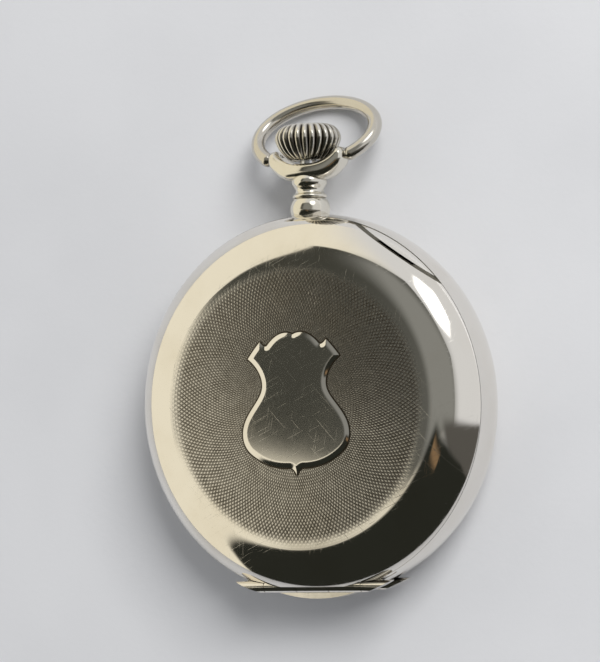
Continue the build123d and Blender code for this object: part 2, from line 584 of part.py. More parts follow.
def bow():
    """An oval loop of round wire with a pin at each end, hanging down at its rest tilt."""
    span = BOW_CENTRE / BOW_HALF_LENGTH
    start = degrees(asin(-span))
    turn = 180 - 2 * start
    path = EllipticalCenterArc((0, BOW_CENTRE), BOW_HALF_WIDTH, BOW_HALF_LENGTH, start, arc_size=turn)
    first, last = path @ 0, path @ 1
    wire = sweep(Plane(origin=first, z_dir=path % 0) * Circle(BOW_WIRE), path)
    loop = wire + Pos(*first) * Sphere(BOW_WIRE) + Pos(*last) * Sphere(BOW_WIRE)
    shoulder = HORN_HALF + 0.08
    loop -= Box(2 * shoulder, 4 * BOW_WIRE, 4 * BOW_WIRE)
    for side in (-1, 1):
        ends = sorted((side * (HORN_HALF - 1.5), side * first.X))
        loop += rod_x(BOW_PIN_RADIUS, ends[0], ends[1], first.Y, 0)
    return Pos(0, PIVOT_Y, MID_Z) * Rot(-BOW_TILT, 0, 0) * loop


def push_sleeve():
    reach = SPRING_RADIUS + SPRING_THICK + 0.25
    bore = rod_y(STEM_RADIUS + PIN_CLEARANCE, reach - 1, CROWN_BOTTOM + 1)
    return rod_y(SLEEVE_RADIUS, reach, CROWN_BOTTOM - 0.05) - bore


def winding_stem():
    return rod_y(STEM_RADIUS, WIND_PINION_Y - STEM_TAIL, CROWN_BOTTOM + CROWN_HEIGHT - 1.25)


def winding_pinion():
    face = toothed(WIND_PINION_TEETH, WIND_PINION_RADIUS / 6.7, 0) - Circle(STEM_RADIUS)
    upright = extrude(face, WIND_PINION_LENGTH)
    return Pos(0, WIND_PINION_Y + WIND_PINION_LENGTH, MID_Z) * Rot(90, 0, 0) * upright


# ---------------------------------------------------------------- glass and dial

def bezel():
    inner = GLASS_RADIUS - 0.35
    groove = BEZEL_TOP - BEZEL_GROOVE
    return spun([
        (wide_bore(), BEZEL_SEAT), (BEZEL_RADIUS, BEZEL_SEAT), (BEZEL_RADIUS, BEZEL_SEAT + 0.9),
        (BEZEL_RADIUS - 0.5, BEZEL_TOP), (GLASS_RADIUS + 0.02, BEZEL_TOP), (GLASS_RADIUS + 0.02, groove),
        (inner, groove), (inner, BEZEL_SEAT + 0.35), (wide_bore(), BEZEL_SEAT + 0.35)])


def wide_bore():
    return LEDGE_RADIUS + LEDGE_WIDTH


def crystal():
    """Domed watch glass seated on the bezel's ledge."""
    low = BEZEL_TOP - BEZEL_GROOVE
    shoulder = low + GLASS_EDGE
    radius = (GLASS_RADIUS ** 2 + GLASS_RISE ** 2) / (2 * GLASS_RISE)
    half, lifted = GLASS_RADIUS / 2, shoulder + lift(radius, GLASS_RADIUS / 2)
    peak, foot = shoulder + GLASS_RISE, GLASS_RADIUS - 1.5
    top = ThreePointArc((GLASS_RADIUS, shoulder), (half, lifted), (0, peak))
    under = ThreePointArc((0, peak - GLASS_THICK), (half, lifted - GLASS_THICK), (foot, low))
    rest = Polyline((foot, low), (GLASS_RADIUS, low), (GLASS_RADIUS, shoulder))
    axis = Line((0, peak), (0, peak - GLASS_THICK))
    edges = [*top.edges(), *axis.edges(), *under.edges(), *rest.edges()]
    return revolve(Plane.XZ * make_face(edges), Axis.Z)


def lift(radius, out):
    """Height of the glass's dome above its edge, at a distance out from the middle."""
    return sqrt(radius ** 2 - out ** 2) - (radius - GLASS_RISE)


def dial():
    plate = ring(DIAL_RADIUS, 1.0, DIAL_LOW, DIAL_LOW + DIAL_THICK)
    return plate - ring(SECONDS_RADIUS, 0, DIAL_LOW - 1, DIAL_LOW + 1, FOURTH)


def seconds_dial():
    return ring(SECONDS_RADIUS + 0.5, ARBOR_RADIUS, DIAL_LOW - SECONDS_SINK, DIAL_LOW, FOURTH)


def hand(length, tail, width, hole, low, thick, at, pointing):
    """A spade-shaped hand pointing at an angle, on a boss round its arbor."""
    edge = [(0, 0.16), (0.6, 0.1), (0.68, width), (0.82, 0.14), (1.0, 0.03)]
    below = [(share * length, -out) for share, out in edge]
    above = [(share * length, out) for share, out in reversed(edge)]
    blade = make_face(Polyline(*below, *above, close=True))
    counter = Pos(-tail / 2, 0) * Rectangle(tail, 0.3)
    face = blade + counter + Circle(hole + 0.45)
    return Pos(at[0], at[1], low) * Rot(0, 0, pointing) * extrude(face - Circle(hole), thick)


# ---------------------------------------------------------------- movement

def main_plate():
    """Pillar plate with its flange on the case ledge, and windows for the stem's pinion."""
    body = ring(LEDGE_RADIUS - PLATE_CLEARANCE, 0, LEDGE_LOW, PLATE_TOP)
    body += ring(wide_bore() - PLATE_CLEARANCE, 0, LEDGE_HIGH, PLATE_TOP)
    end = WIND_PINION_Y + WIND_PINION_LENGTH
    window_start = WIND_PINION_Y - CROWN_PUSH - STEM_END_GAP
    body -= block(-2, 2, window_start, end + STEM_END_GAP, LEDGE_LOW - 1, PLATE_TOP + 1)
    bore_start = WIND_PINION_Y - STEM_TAIL - CROWN_PUSH - STEM_END_GAP
    body -= rod_y(STEM_RADIUS + PIN_CLEARANCE, bore_start, LEDGE_RADIUS + 2)
    body -= ring(ARBOR_RADIUS + 0.2, 0, LEDGE_LOW - 1, PLATE_TOP + 1, CENTRE)
    body -= ring(ARBOR_RADIUS + 0.75, 0, LEDGE_LOW - 1, PLATE_TOP + 1, BARREL)
    for at in (THIRD, FOURTH, ESCAPE, PALLET, BALANCE):
        body -= ring(JEWEL_RADIUS, 0, LEDGE_LOW - 1, PLATE_TOP + 1, at)
    for at in (MINUTE, CROWN_WHEEL, IDLER, CLICK):
        body -= ring(POST_RADIUS, 0, PLATE_TOP - 0.8, PLATE_TOP + 1, at)
    for at in case_screw_places():
        body -= ring(SCREW_SHANK, 0, LEDGE_LOW - 1, LEDGE_LOW + 1.2, at)
    for at in bridge_screw_places():
        body -= ring(SCREW_SHANK, 0, LEDGE_LOW - 1, LEDGE_LOW + 1.0, at)
    return body


def case_screw_places():
    return [polar(LEDGE_RADIUS - 0.9, angle) for angle in (52, 232)]


def bridge_screw_places():
    return [polar(BRIDGE_RADIUS - 0.6, angle) for angle in (112, 150, 205, 22, 262, 335)]


def bridge(corners, feet):
    """A bridge plate cut to an outline, standing on feet at the edge of the movement."""
    outline = make_face(Polyline(*corners, close=True)) & Circle(BRIDGE_RADIUS)
    plate = Pos(0, 0, BRIDGE_INNER - BRIDGE_THICK) * extrude(outline, BRIDGE_THICK)
    for start, end in feet:
        plate += sector(BRIDGE_RADIUS - 1.3, BRIDGE_RADIUS, start, end, BRIDGE_INNER, LEDGE_LOW)
    for at in bridge_screw_places():
        plate -= ring(SCREW_SHANK, 0, BRIDGE_INNER - 2, LEDGE_LOW + 1, at)
        plate -= ring(SCREW_HEAD + 0.05, 0, BRIDGE_INNER - 2, BRIDGE_INNER - 0.5, at)
    return plate


def barrel_bridge():
    wide = BRIDGE_RADIUS + 4
    corners = [(-1.2, wide), (-1.2, 2.0), (-2.6, -3.0), (-2.6, -8.0), (-wide, -12), (-wide, wide)]
    plate = bridge(corners, [(105, 156), (196, 210)])
    return plate - ring(ARBOR_RADIUS + 0.75, 0, 0, BRIDGE_INNER + 1, BARREL)


def train_bridge():
    wide = BRIDGE_RADIUS + 4
    corners = [(-1.0, wide), (-1.0, 2.0), (-2.4, -3.0), (2.0, -5.2), (12.8, -4.6), (wide, -4.6), (wide, wide)]
    plate = bridge(corners, [(16, 40)])
    for at in (CENTRE, THIRD, FOURTH, ESCAPE):
        plate -= ring(JEWEL_RADIUS, 0, 0, BRIDGE_INNER + 1, at)
    return plate


def balance_cock():
    wide = BRIDGE_RADIUS + 4
    inner_side = [(8.2, -9.9), (10.4, -10.4), (10.2, -12.8), (2.0, -17.2), (-2.2, -wide)]
    plate = bridge([*inner_side, (-8, -wide), (-5.5, -15.8)], [(255, 267)])
    return plate - ring(JEWEL_RADIUS, 0, 0, BRIDGE_INNER + 1, BALANCE)


def pallet_cock():
    """Small cock over the pallet arbor, on the inner side of the balance."""
    low, high = LEDGE_LOW - 1.35, LEDGE_LOW - 1.1
    foot = bridge_screw_places()[5]
    bar = Pos(0, 0, low) * extrude(slot_between(PALLET, foot, 1.0), high - low)
    bar += ring(0.9, 0, high, LEDGE_LOW, foot)
    bar -= ring(SCREW_SHANK, 0, 0, LEDGE_LOW + 1, bridge_screw_places()[5])
    return bar - ring(PIVOT_RADIUS + JEWEL_CLEARANCE, 0, low - 1, high + 0.1, PALLET)


def slot_between(a, b, radius):
    """A flat bar with round ends from a to b."""
    length = hypot(b[0] - a[0], b[1] - a[1])
    middle = ((a[0] + b[0]) / 2, (a[1] + b[1]) / 2)
    bar = Pos(*middle) * Rot(0, 0, toward(a, b)) * Rectangle(length, 2 * radius)
    return bar + Pos(*a) * Circle(radius) + Pos(*b) * Circle(radius)


def jewels():
    hole = PIVOT_RADIUS + JEWEL_CLEARANCE
    stones = []
    for at in (CENTRE, THIRD, FOURTH, ESCAPE, BALANCE):
        stones.append(ring(JEWEL_RADIUS, hole, BRIDGE_INNER - 0.5, BRIDGE_INNER, at))
    for at in (THIRD, FOURTH, ESCAPE, PALLET, BALANCE):
        stones.append(ring(JEWEL_RADIUS, hole, LEDGE_LOW, LEDGE_LOW + 0.5, at))
    return stones


def screw(at, head_low, tip, head=SCREW_HEAD, head_thick=0.45):
    """A slotted screw whose head faces the back of the watch."""
    body = ring(head, 0, head_low, head_low + head_thick, at)
    body += ring(SCREW_SHANK - 0.02, 0, head_low, tip, at)
    return body - Pos(at[0], at[1], head_low) * Box(3 * head, 0.2, 0.3)


def case_screws():
    return [screw(at, LEDGE_LOW - 0.45, LEDGE_LOW + 1.1, 1.15) for at in case_screw_places()]


def bridge_screws():
    places = bridge_screw_places()
    screws = [screw(at, BRIDGE_INNER - 1.0, LEDGE_LOW + 0.9, head_thick=0.5) for at in places[:5]]
    screws.append(screw(places[5], LEDGE_LOW - 1.8, LEDGE_LOW + 0.9, head_thick=0.45))
    return screws


def above_bridge(span):
    """The low and high ends of a span that is given above the bridges' inner faces."""
    return BRIDGE_INNER + span[0], BRIDGE_INNER + span[1]


BARREL_LOW, BARREL_HIGH = above_bridge(BARREL_SPAN)


def barrel():
    rim = BARREL_MODULE * (BARREL_TEETH / 2 - 2.5)
    first = toward(BARREL, CENTRE)
    flange = pinion(BARREL_TEETH, BARREL_MODULE, first, BARREL_HIGH - 0.4, BARREL_HIGH, BARREL)
    drum = ring(rim, 0, BARREL_LOW, BARREL_HIGH, BARREL)
    cavity = ring(rim - 0.4, 0, BARREL_LOW - 1, BARREL_HIGH - 0.25, BARREL)
    return flange + drum - cavity - ring(ARBOR_RADIUS + 0.3, 0, 0, LEDGE_LOW + 1, BARREL)


def barrel_cover():
    rim = BARREL_MODULE * (BARREL_TEETH / 2 - 2.5) - 0.4
    return ring(rim - 0.01, ARBOR_RADIUS + 0.3, BARREL_LOW, BARREL_LOW + 0.25, BARREL)


def mainspring():
    return spiral_strip(1.9, 6.2, 8, 0.18, BARREL_LOW + 0.35, BARREL_HIGH - 0.35, BARREL)


def barrel_arbor():
    core = ring(ARBOR_RADIUS + 0.7, 0, BRIDGE_INNER - 0.6, BARREL_LOW - 0.05, BARREL)
    core += ring(ARBOR_RADIUS + 0.25, 0, BARREL_LOW - 0.1, LEDGE_LOW, BARREL)
    core += ring(1.5, 0, BARREL_LOW + 0.35, BARREL_HIGH - 0.35, BARREL)
    core += ring(ARBOR_RADIUS + 0.7, 0, BARREL_HIGH + 0.05, PLATE_TOP, BARREL)
    return core + ring(0.6, 0, PLATE_TOP, WIND_HIGH, BARREL)


def ratchet_wheel():
    middle = toward(BARREL, IDLER) + 180 / RATCHET_TEETH
    wheel = pinion(RATCHET_TEETH, WIND_MODULE, middle, WIND_LOW, WIND_HIGH, BARREL)
    return wheel - ring(0.6, 0, 0, WIND_HIGH + 1, BARREL)


def idler_wheel():
    wheel = pinion(IDLER_TEETH, WIND_MODULE, toward(IDLER, BARREL), WIND_LOW, WIND_HIGH, IDLER)
    return wheel - ring(POST_RADIUS + POST_CLEARANCE, 0, 0, WIND_HIGH + 1, IDLER)


def crown_wheel():
    facing = toward(CROWN_WHEEL, IDLER)
    # The idler's teeth are set by the ratchet, so the crown wheel is turned to suit them.
    offset = (facing + 180 - toward(IDLER, BARREL)) % (360 / IDLER_TEETH)
    middle = facing + offset * IDLER_TEETH / CROWN_WHEEL_TEETH + 180 / CROWN_WHEEL_TEETH
    wheel = pinion(CROWN_WHEEL_TEETH, WIND_MODULE, middle, WIND_LOW, WIND_HIGH, CROWN_WHEEL)
    return wheel - ring(POST_RADIUS + POST_CLEARANCE, 0, 0, WIND_HIGH + 1, CROWN_WHEEL)


def winding_posts():
    """Shouldered posts that the under-dial wheels and the click turn on."""
    posts = []
    for at in (CROWN_WHEEL, IDLER, MINUTE, CLICK):
        posts.append(ring(POST_RADIUS, 0, PLATE_TOP - 0.8, WIND_HIGH + 0.05, at))
    return posts


def click():
    """Pawl lying at the edge of the ratchet wheel."""
    reach = WIND_MODULE * (RATCHET_TEETH / 2 + 0.7) + 0.12
    outward = toward(BARREL, CLICK)
    out = polar(reach + 0.3, outward + 24)
    nose = (BARREL[0] + out[0], BARREL[1] + out[1])
    face = slot_between(CLICK, nose, 0.32) + Pos(*CLICK) * Circle(0.75)
    arm = Pos(0, 0, WIND_LOW) * extrude(face, 0.35)
    clear = ring(reach, 0, WIND_LOW - 1, WIND_HIGH + 1, BARREL)
    return arm - ring(POST_RADIUS + POST_CLEARANCE, 0, 0, WIND_HIGH + 1, CLICK) - clear


def centre_wheel():
    span = above_bridge(CENTRE_WHEEL_SPAN)
    wheel = crossed_wheel(CENTRE_TEETH, CENTRE_MODULE, toward(CENTRE, THIRD), *span, CENTRE)
    gap = 180 / CENTRE_PINION
    wheel += pinion(CENTRE_PINION, BARREL_MODULE, 180 + gap, *above_bridge(CENTRE_PINION_SPAN), CENTRE)
    wheel += arbor(CENTRE, high=PLATE_TOP)
    return wheel + ring(PIVOT_RADIUS + 0.1, 0, LEDGE_LOW - 0.2, MINUTE_LEVEL + HAND_THICK, CENTRE)


def third_wheel():
    gap = 180 / THIRD_PINION
    span = above_bridge(THIRD_WHEEL_SPAN)
    wheel = crossed_wheel(THIRD_TEETH, THIRD_MODULE, toward(THIRD, FOURTH), *span, THIRD)
    span = above_bridge(THIRD_PINION_SPAN)
    wheel += pinion(THIRD_PINION, CENTRE_MODULE, toward(THIRD, CENTRE) + gap, *span, THIRD)
    return wheel + arbor(THIRD)


def fourth_wheel():
    gap = 180 / FOURTH_PINION
    span = above_bridge(FOURTH_WHEEL_SPAN)
    wheel = crossed_wheel(FOURTH_TEETH, FOURTH_MODULE, toward(FOURTH, ESCAPE), *span, FOURTH)
    span = above_bridge(FOURTH_PINION_SPAN)
    wheel += pinion(FOURTH_PINION, THIRD_MODULE, toward(FOURTH, THIRD) + gap, *span, FOURTH)
    return wheel + arbor(FOURTH, high=SECONDS_LEVEL + HAND_THICK)


def escape_wheel():
    """Fifteen raked teeth on a thin wheel, with its pinion."""
    corners = []
    for index in range(ESCAPE_TEETH):
        middle = index * 360 / ESCAPE_TEETH
        corners += [polar(0.72 * ESCAPE_RADIUS, middle), polar(ESCAPE_RADIUS, middle + 3),
                    polar(ESCAPE_RADIUS, middle + 5), polar(0.72 * ESCAPE_RADIUS, middle + 11)]
    windows = Circle(0.55 * ESCAPE_RADIUS) - Circle(0.9) - Rectangle(8, 0.5) - Rectangle(0.5, 8)
    face = make_face(Polyline(*corners, close=True)) - windows
    low, high = above_bridge(ESCAPE_WHEEL_SPAN)
    wheel = Pos(ESCAPE[0], ESCAPE[1], low) * extrude(face, high - low)
    gap, span = 180 / ESCAPE_PINION, above_bridge(ESCAPE_PINION_SPAN)
    wheel += pinion(ESCAPE_PINION, FOURTH_MODULE, toward(ESCAPE, FOURTH) + gap, *span, ESCAPE)
    return wheel + arbor(ESCAPE)


def pallet_fork():
    """Anchor with two pallets clear of the escape wheel, and its fork towards the balance."""
    to_wheel, to_balance = toward(PALLET, ESCAPE), toward(PALLET, BALANCE)
    low, high = above_bridge(ESCAPE_WHEEL_SPAN)
    face = Circle(0.7)
    for side in (-1, 1):
        tip = polar(3.2, to_wheel + side * 58)
        face += slot_between((0, 0), tip, 0.28)
        face += Pos(*tip) * Rot(0, 0, to_wheel) * Pos(0.3, 0) * Rectangle(1.0, 0.5)
    face += slot_between((0, 0), polar(5.6, to_balance), 0.25)
    anchor = Pos(PALLET[0], PALLET[1], low) * extrude(face, high - low)
    anchor -= ring(ESCAPE_RADIUS + 0.1, 0, low - 1, low + 1, ESCAPE)
    staff = ring(ARBOR_RADIUS, 0, LEDGE_LOW - 1.05, LEDGE_LOW - 0.05, PALLET)
    return anchor + staff + ring(PIVOT_RADIUS, 0, LEDGE_LOW - 1.35, LEDGE_LOW + 0.35, PALLET)


def balance_wheel():
    """Rim, two arms, staff and roller, with timing screws round the rim."""
    low, high = above_bridge(BALANCE_SPAN)
    wheel = ring(BALANCE_RADIUS - 0.3, BALANCE_RADIUS - 0.95, low, high, BALANCE)
    arms = Rot(0, 0, 40) * Box(2 * BALANCE_RADIUS - 1.4, 0.6, 0.3)
    wheel += Pos(BALANCE[0], BALANCE[1], (low + high) / 2) * arms
    for index in range(12):
        out = polar(BALANCE_RADIUS - 0.15, index * 30 + 15)
        wheel += Pos(BALANCE[0] + out[0], BALANCE[1] + out[1], (low + high) / 2) * Sphere(0.22)
    wheel += ring(1.2, 0, *above_bridge(ROLLER_SPAN), BALANCE)
    return wheel + arbor(BALANCE)


def hairspring():
    return spiral_strip(0.8, 2.6, 7, 0.08, *above_bridge(HAIRSPRING_SPAN), BALANCE)


def hairspring_collet():
    return ring(0.8, ARBOR_RADIUS, *above_bridge(HAIRSPRING_SPAN), BALANCE)


def regulator():
    """Index lever on top of the balance cock."""
    high = BRIDGE_INNER - BRIDGE_THICK
    face = slot_between((0, 0), polar(4.2, toward(BALANCE, (-4, -19))), 0.3) + Circle(1.3)
    lever = Pos(BALANCE[0], BALANCE[1], high - 0.25) * extrude(face, 0.25)
    return lever - ring(JEWEL_RADIUS + 0.05, 0, high - 1, high + 0.1, BALANCE)


def cannon_pinion():
    low = PLATE_TOP + 0.05
    bore = PIVOT_RADIUS + 0.1
    body = pinion(CANNON_TEETH, MINUTE_MODULE, -90, low, low + 0.25, CENTRE)
    body += ring(CANNON_TUBE, 0, low, MINUTE_LEVEL, CENTRE)
    return body - ring(bore, 0, low - 1, MINUTE_LEVEL + 1, CENTRE)


def minute_wheel():
    low = PLATE_TOP + 0.05
    wheel = pinion(MINUTE_TEETH, MINUTE_MODULE, 90 + 180 / MINUTE_TEETH, low, low + 0.25, MINUTE)
    wheel += pinion(MINUTE_PINION, HOUR_MODULE, 90, low + 0.2, low + 0.55, MINUTE)
    return wheel - ring(POST_RADIUS + POST_CLEARANCE, 0, low - 1, low + 1, MINUTE)


def hour_wheel():
    low = PLATE_TOP + 0.35
    wheel = pinion(HOUR_TEETH, HOUR_MODULE, -90 + 180 / HOUR_TEETH, low, low + 0.25, CENTRE)
    wheel += ring(HOUR_TUBE, 0, low, HOUR_LEVEL, CENTRE)
    return wheel - ring(CANNON_TUBE + 0.05, 0, low - 1, HOUR_LEVEL + 1, CENTRE)


PARTS = {
    "front_cover": front_cover, "back_cover": back_cover, "dust_cap": dust_cap,
    "front_hinge_pin": lambda: hinge_pin(FRONT_SEAM), "back_hinge_pin": lambda: hinge_pin(BACK_SEAM),
    "case_middle": case_middle, "lock_spring": lock_spring, "lift_spring": lift_spring,
    "spring_screws": spring_screws, "pendant": pendant, "crown": crown, "bow": bow,
    "push_sleeve": push_sleeve, "winding_stem": winding_stem, "winding_pinion": winding_pinion,
    "bezel": bezel, "crystal": crystal, "dial": dial, "seconds_dial": seconds_dial,
    "hour_hand": lambda: hand(11.5, 2.5, 0.85, CANNON_TUBE + 0.3, HOUR_LEVEL, HAND_THICK, CENTRE, 235),
    "minute_hand": lambda: hand(17.5, 3.5, 0.7, PIVOT_RADIUS + 0.1, MINUTE_LEVEL, HAND_THICK, CENTRE, 120),
    "seconds_hand": lambda: hand(4.4, 1.6, 0.16, PIVOT_RADIUS, SECONDS_LEVEL, HAND_THICK, FOURTH, 40),
    "main_plate": main_plate, "barrel_bridge": barrel_bridge, "train_bridge": train_bridge,
    "balance_cock": balance_cock, "pallet_cock": pallet_cock, "jewels": jewels,
    "case_screws": case_screws, "bridge_screws": bridge_screws, "barrel": barrel,
    "barrel_cover": barrel_cover, "mainspring": mainspring, "barrel_arbor": barrel_arbor,
    "ratchet_wheel": ratchet_wheel, "idler_wheel": idler_wheel, "crown_wheel": crown_wheel,
    "winding_posts": winding_posts, "click": click, "centre_wheel": centre_wheel,
    "third_wheel": third_wheel, "fourth_wheel": fourth_wheel, "escape_wheel": escape_wheel,
    "pallet_fork": pallet_fork, "balance_wheel": balance_wheel, "hairspring": hairspring,
    "hairspring_collet": hairspring_collet, "regulator": regulator, "cannon_pinion": cannon_pinion,
    "minute_wheel": minute_wheel, "hour_wheel": hour_wheel,
}


def main():
    os.makedirs("parts", exist_ok=True)
    for name, build in PARTS.items():
        made = build()
        shape = Compound(children=made) if isinstance(made, list) else made
        export_step(shape, f"parts/{name}.step")
        solids = shape.solids()
        print(name, len(solids), "solids", round(sum(s.volume for s in solids), 2), "mm3")


main()
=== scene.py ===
"""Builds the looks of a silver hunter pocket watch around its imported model.

The lid with its engine-turned ground, the raised shield, the crown, the pendant and the print
of the dial are modelled here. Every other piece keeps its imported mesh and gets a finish. Sizes
inside the classes are in millimetres, and a finished piece is in metres.
"""
import json
import logging
import math
from dataclasses import dataclass, field
from enum import Enum

import bmesh
import bpy
from mathutils import Matrix, Vector
from mathutils.geometry import delaunay_2d_cdt, intersect_point_line


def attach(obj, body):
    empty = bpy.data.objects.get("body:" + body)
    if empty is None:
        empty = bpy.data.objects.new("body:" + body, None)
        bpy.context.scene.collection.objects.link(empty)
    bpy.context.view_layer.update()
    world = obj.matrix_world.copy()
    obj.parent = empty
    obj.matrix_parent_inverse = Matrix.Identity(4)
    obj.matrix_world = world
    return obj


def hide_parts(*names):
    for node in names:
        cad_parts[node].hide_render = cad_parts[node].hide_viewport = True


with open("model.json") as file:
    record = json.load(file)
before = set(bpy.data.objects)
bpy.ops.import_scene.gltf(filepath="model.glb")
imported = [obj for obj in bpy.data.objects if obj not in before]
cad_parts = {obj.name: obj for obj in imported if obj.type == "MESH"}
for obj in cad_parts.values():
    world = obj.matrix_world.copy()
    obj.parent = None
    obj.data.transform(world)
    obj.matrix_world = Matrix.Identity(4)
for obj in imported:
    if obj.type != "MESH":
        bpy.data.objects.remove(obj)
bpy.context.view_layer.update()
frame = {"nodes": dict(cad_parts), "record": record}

MM = 0.001
LOG = logging.getLogger("watch")
Colour = tuple[float, float, float]
Span = tuple[float, float]
Shape, Piece = bmesh.types.BMesh, bpy.types.Object
Material, Socket = bpy.types.Material, bpy.types.NodeSocket


# ---- shader helpers

class Signal:
    """A shader socket that Python's operators combine through Math nodes."""

    def __init__(self, graph: "Graph", socket: Socket) -> None:
        """Keeps the socket and the graph that it belongs to."""
        self.graph = graph
        self.socket = socket

    def _math(self, operation: str, other: object, swapped: bool = False) -> "Signal":
        """Adds one Math node on this signal and another value, and returns its result."""
        values = {0: other, 1: self} if swapped else {0: self, 1: other}
        node = self.graph.node("ShaderNodeMath", {"operation": operation}, values)
        return Signal(self.graph, node.outputs[0])

    def __add__(self, other: object) -> "Signal":
        """Sum."""
        return self._math("ADD", other)

    def __sub__(self, other: object) -> "Signal":
        """Difference."""
        return self._math("SUBTRACT", other)

    def __rsub__(self, other: object) -> "Signal":
        """Difference from a number on the left."""
        return self._math("SUBTRACT", other, swapped=True)

    def __mul__(self, other: object) -> "Signal":
        """Product."""
        return self._math("MULTIPLY", other)

    def __truediv__(self, other: object) -> "Signal":
        """Quotient."""
        return self._math("DIVIDE", other)

    __radd__, __rmul__ = __add__, __mul__

    def step(self, low: float, high: float) -> "Signal":
        """Rises smoothly from 0 at low to 1 at high; low may be the larger.

        Args:
            low: Input that gives 0.
            high: Input that gives 1.

        Returns:
            The stepped signal, from 0 to 1.
        """
        start, end = (low, high) if low < high else (high, low)
        settings = {"interpolation_type": "SMOOTHSTEP"}
        node = self.graph.node("ShaderNodeMapRange", settings, {0: self, 1: start, 2: end})
        rising = Signal(self.graph, node.outputs[0])
        return rising if low < high else 1 - rising


class Graph:
    """The nodes of one material or of the world."""

    def __init__(self, tree: bpy.types.NodeTree) -> None:
        """Empties the tree, ready for new nodes."""
        self.tree = tree
        tree.nodes.clear()

    def node(self, kind: str, settings: dict | None = None,
             inputs: dict | None = None) -> bpy.types.Node:
        """Adds a node.

        Args:
            kind: The node's type.
            settings: Its own settings, with a ramp's stops under "stops".
            inputs: Values, signals or sockets for its inputs, by name or by number.

        Returns:
            The new node.
        """
        made = self.tree.nodes.new(kind)
        for name, value in (settings or {}).items():
            if name == "stops":
                self._set_stops(made.color_ramp, value)
            else:
                setattr(made, name, value)
        for name, value in (inputs or {}).items():
            self.plug(made.inputs[name], value)
        return made

    def _set_stops(self, ramp: bpy.types.ColorRamp, stops: list[tuple[float, Colour]]) -> None:
        """Gives a ramp exactly these stops."""
        while len(ramp.elements) < len(stops):
            ramp.elements.new(1.0)
        for element, (place, colour) in zip(ramp.elements, stops):
            element.position = place
            element.color = (*colour, 1.0)

    def plug(self, socket: Socket, value: object) -> None:
        """Links a signal or a socket to an input, or sets a plain value on it."""
        if isinstance(value, Signal):
            self.tree.links.new(value.socket, socket)
        elif isinstance(value, Socket):
            self.tree.links.new(value, socket)
        elif socket.type == "RGBA" and len(value) == 3:
            socket.default_value = (*value, 1.0)
        else:
            socket.default_value = value

    def place(self, lengths: tuple[float, float, float] = (1, 1, 1),
              turn: float = 0.0) -> Socket:
        """Object coordinates, turned about the watch's axis and then drawn out.

        Args:
            lengths: How far a pattern is drawn out along each of its own axes.
            turn: Turn of those axes about +Z, in degrees.

        Returns:
            The Mapping node's vector.
        """
        source = self.node("ShaderNodeTexCoord")
        rotation = (0, 0, math.radians(turn))
        inputs = {"Vector": source.outputs["Object"], "Scale": lengths, "Rotation": rotation}
        return self.node("ShaderNodeMapping", {"vector_type": "TEXTURE"}, inputs).outputs[0]

    def noise(self, size: float, detail: float = 3.0, vector: object = None) -> Signal:
        """Soft noise whose blotches are about size millimetres across."""
        inputs = {"Vector": vector or self.place(), "Scale": 1 / (size * MM), "Detail": detail,
                  "Roughness": 0.5}
        return Signal(self, self.node("ShaderNodeTexNoise", None, inputs).outputs[0])

    def hairlines(self, turn: float, spacing: float, length: float, share: float) -> Signal:
        """Thin straight scratches in one direction.

        Args:
            turn: Direction of the scratches, in degrees.
            spacing: Typical distance between them, in millimetres.
            length: Typical length, in millimetres.
            share: Share of the lines that are kept, from 0 to 1.

        Returns:
            A signal near 1 on a scratch and 0 elsewhere.
        """
        lines = self.noise(1.0, 1.0, self.place((length, spacing, length), turn))
        return lines.step(0.80 - 0.16 * share, 0.86 - 0.16 * share)

    def mix(self, factor: object, first: object, second: object) -> Socket:
        """Mixes two colours."""
        node = self.node("ShaderNodeMix", {"data_type": "RGBA"}, {0: factor, 6: first, 7: second})
        return node.outputs[2]

    def bump(self, height: Signal, depth: float) -> Socket:
        """A normal from a height of 0 to 1 that stands depth millimetres."""
        inputs = {"Height": height, "Distance": depth * MM, "Strength": 1.0}
        return self.node("ShaderNodeBump", None, inputs).outputs[0]


# ---- finishes

@dataclass(frozen=True)
class Finish:
    """A finish that one Principled shader shows."""

    name: str

    def shade(self, graph: Graph) -> dict:
        """The shader's inputs by name, with the nodes behind them added to the graph."""
        raise NotImplementedError

    def material(self) -> Material:
        """Builds the finish as a new material."""
        material = bpy.data.materials.new(self.name)
        material.use_nodes = True
        graph = Graph(material.node_tree)
        shader = graph.node("ShaderNodeBsdfPrincipled", None, self.shade(graph))
        graph.node("ShaderNodeOutputMaterial", None, {"Surface": shader.outputs[0]})
        return material


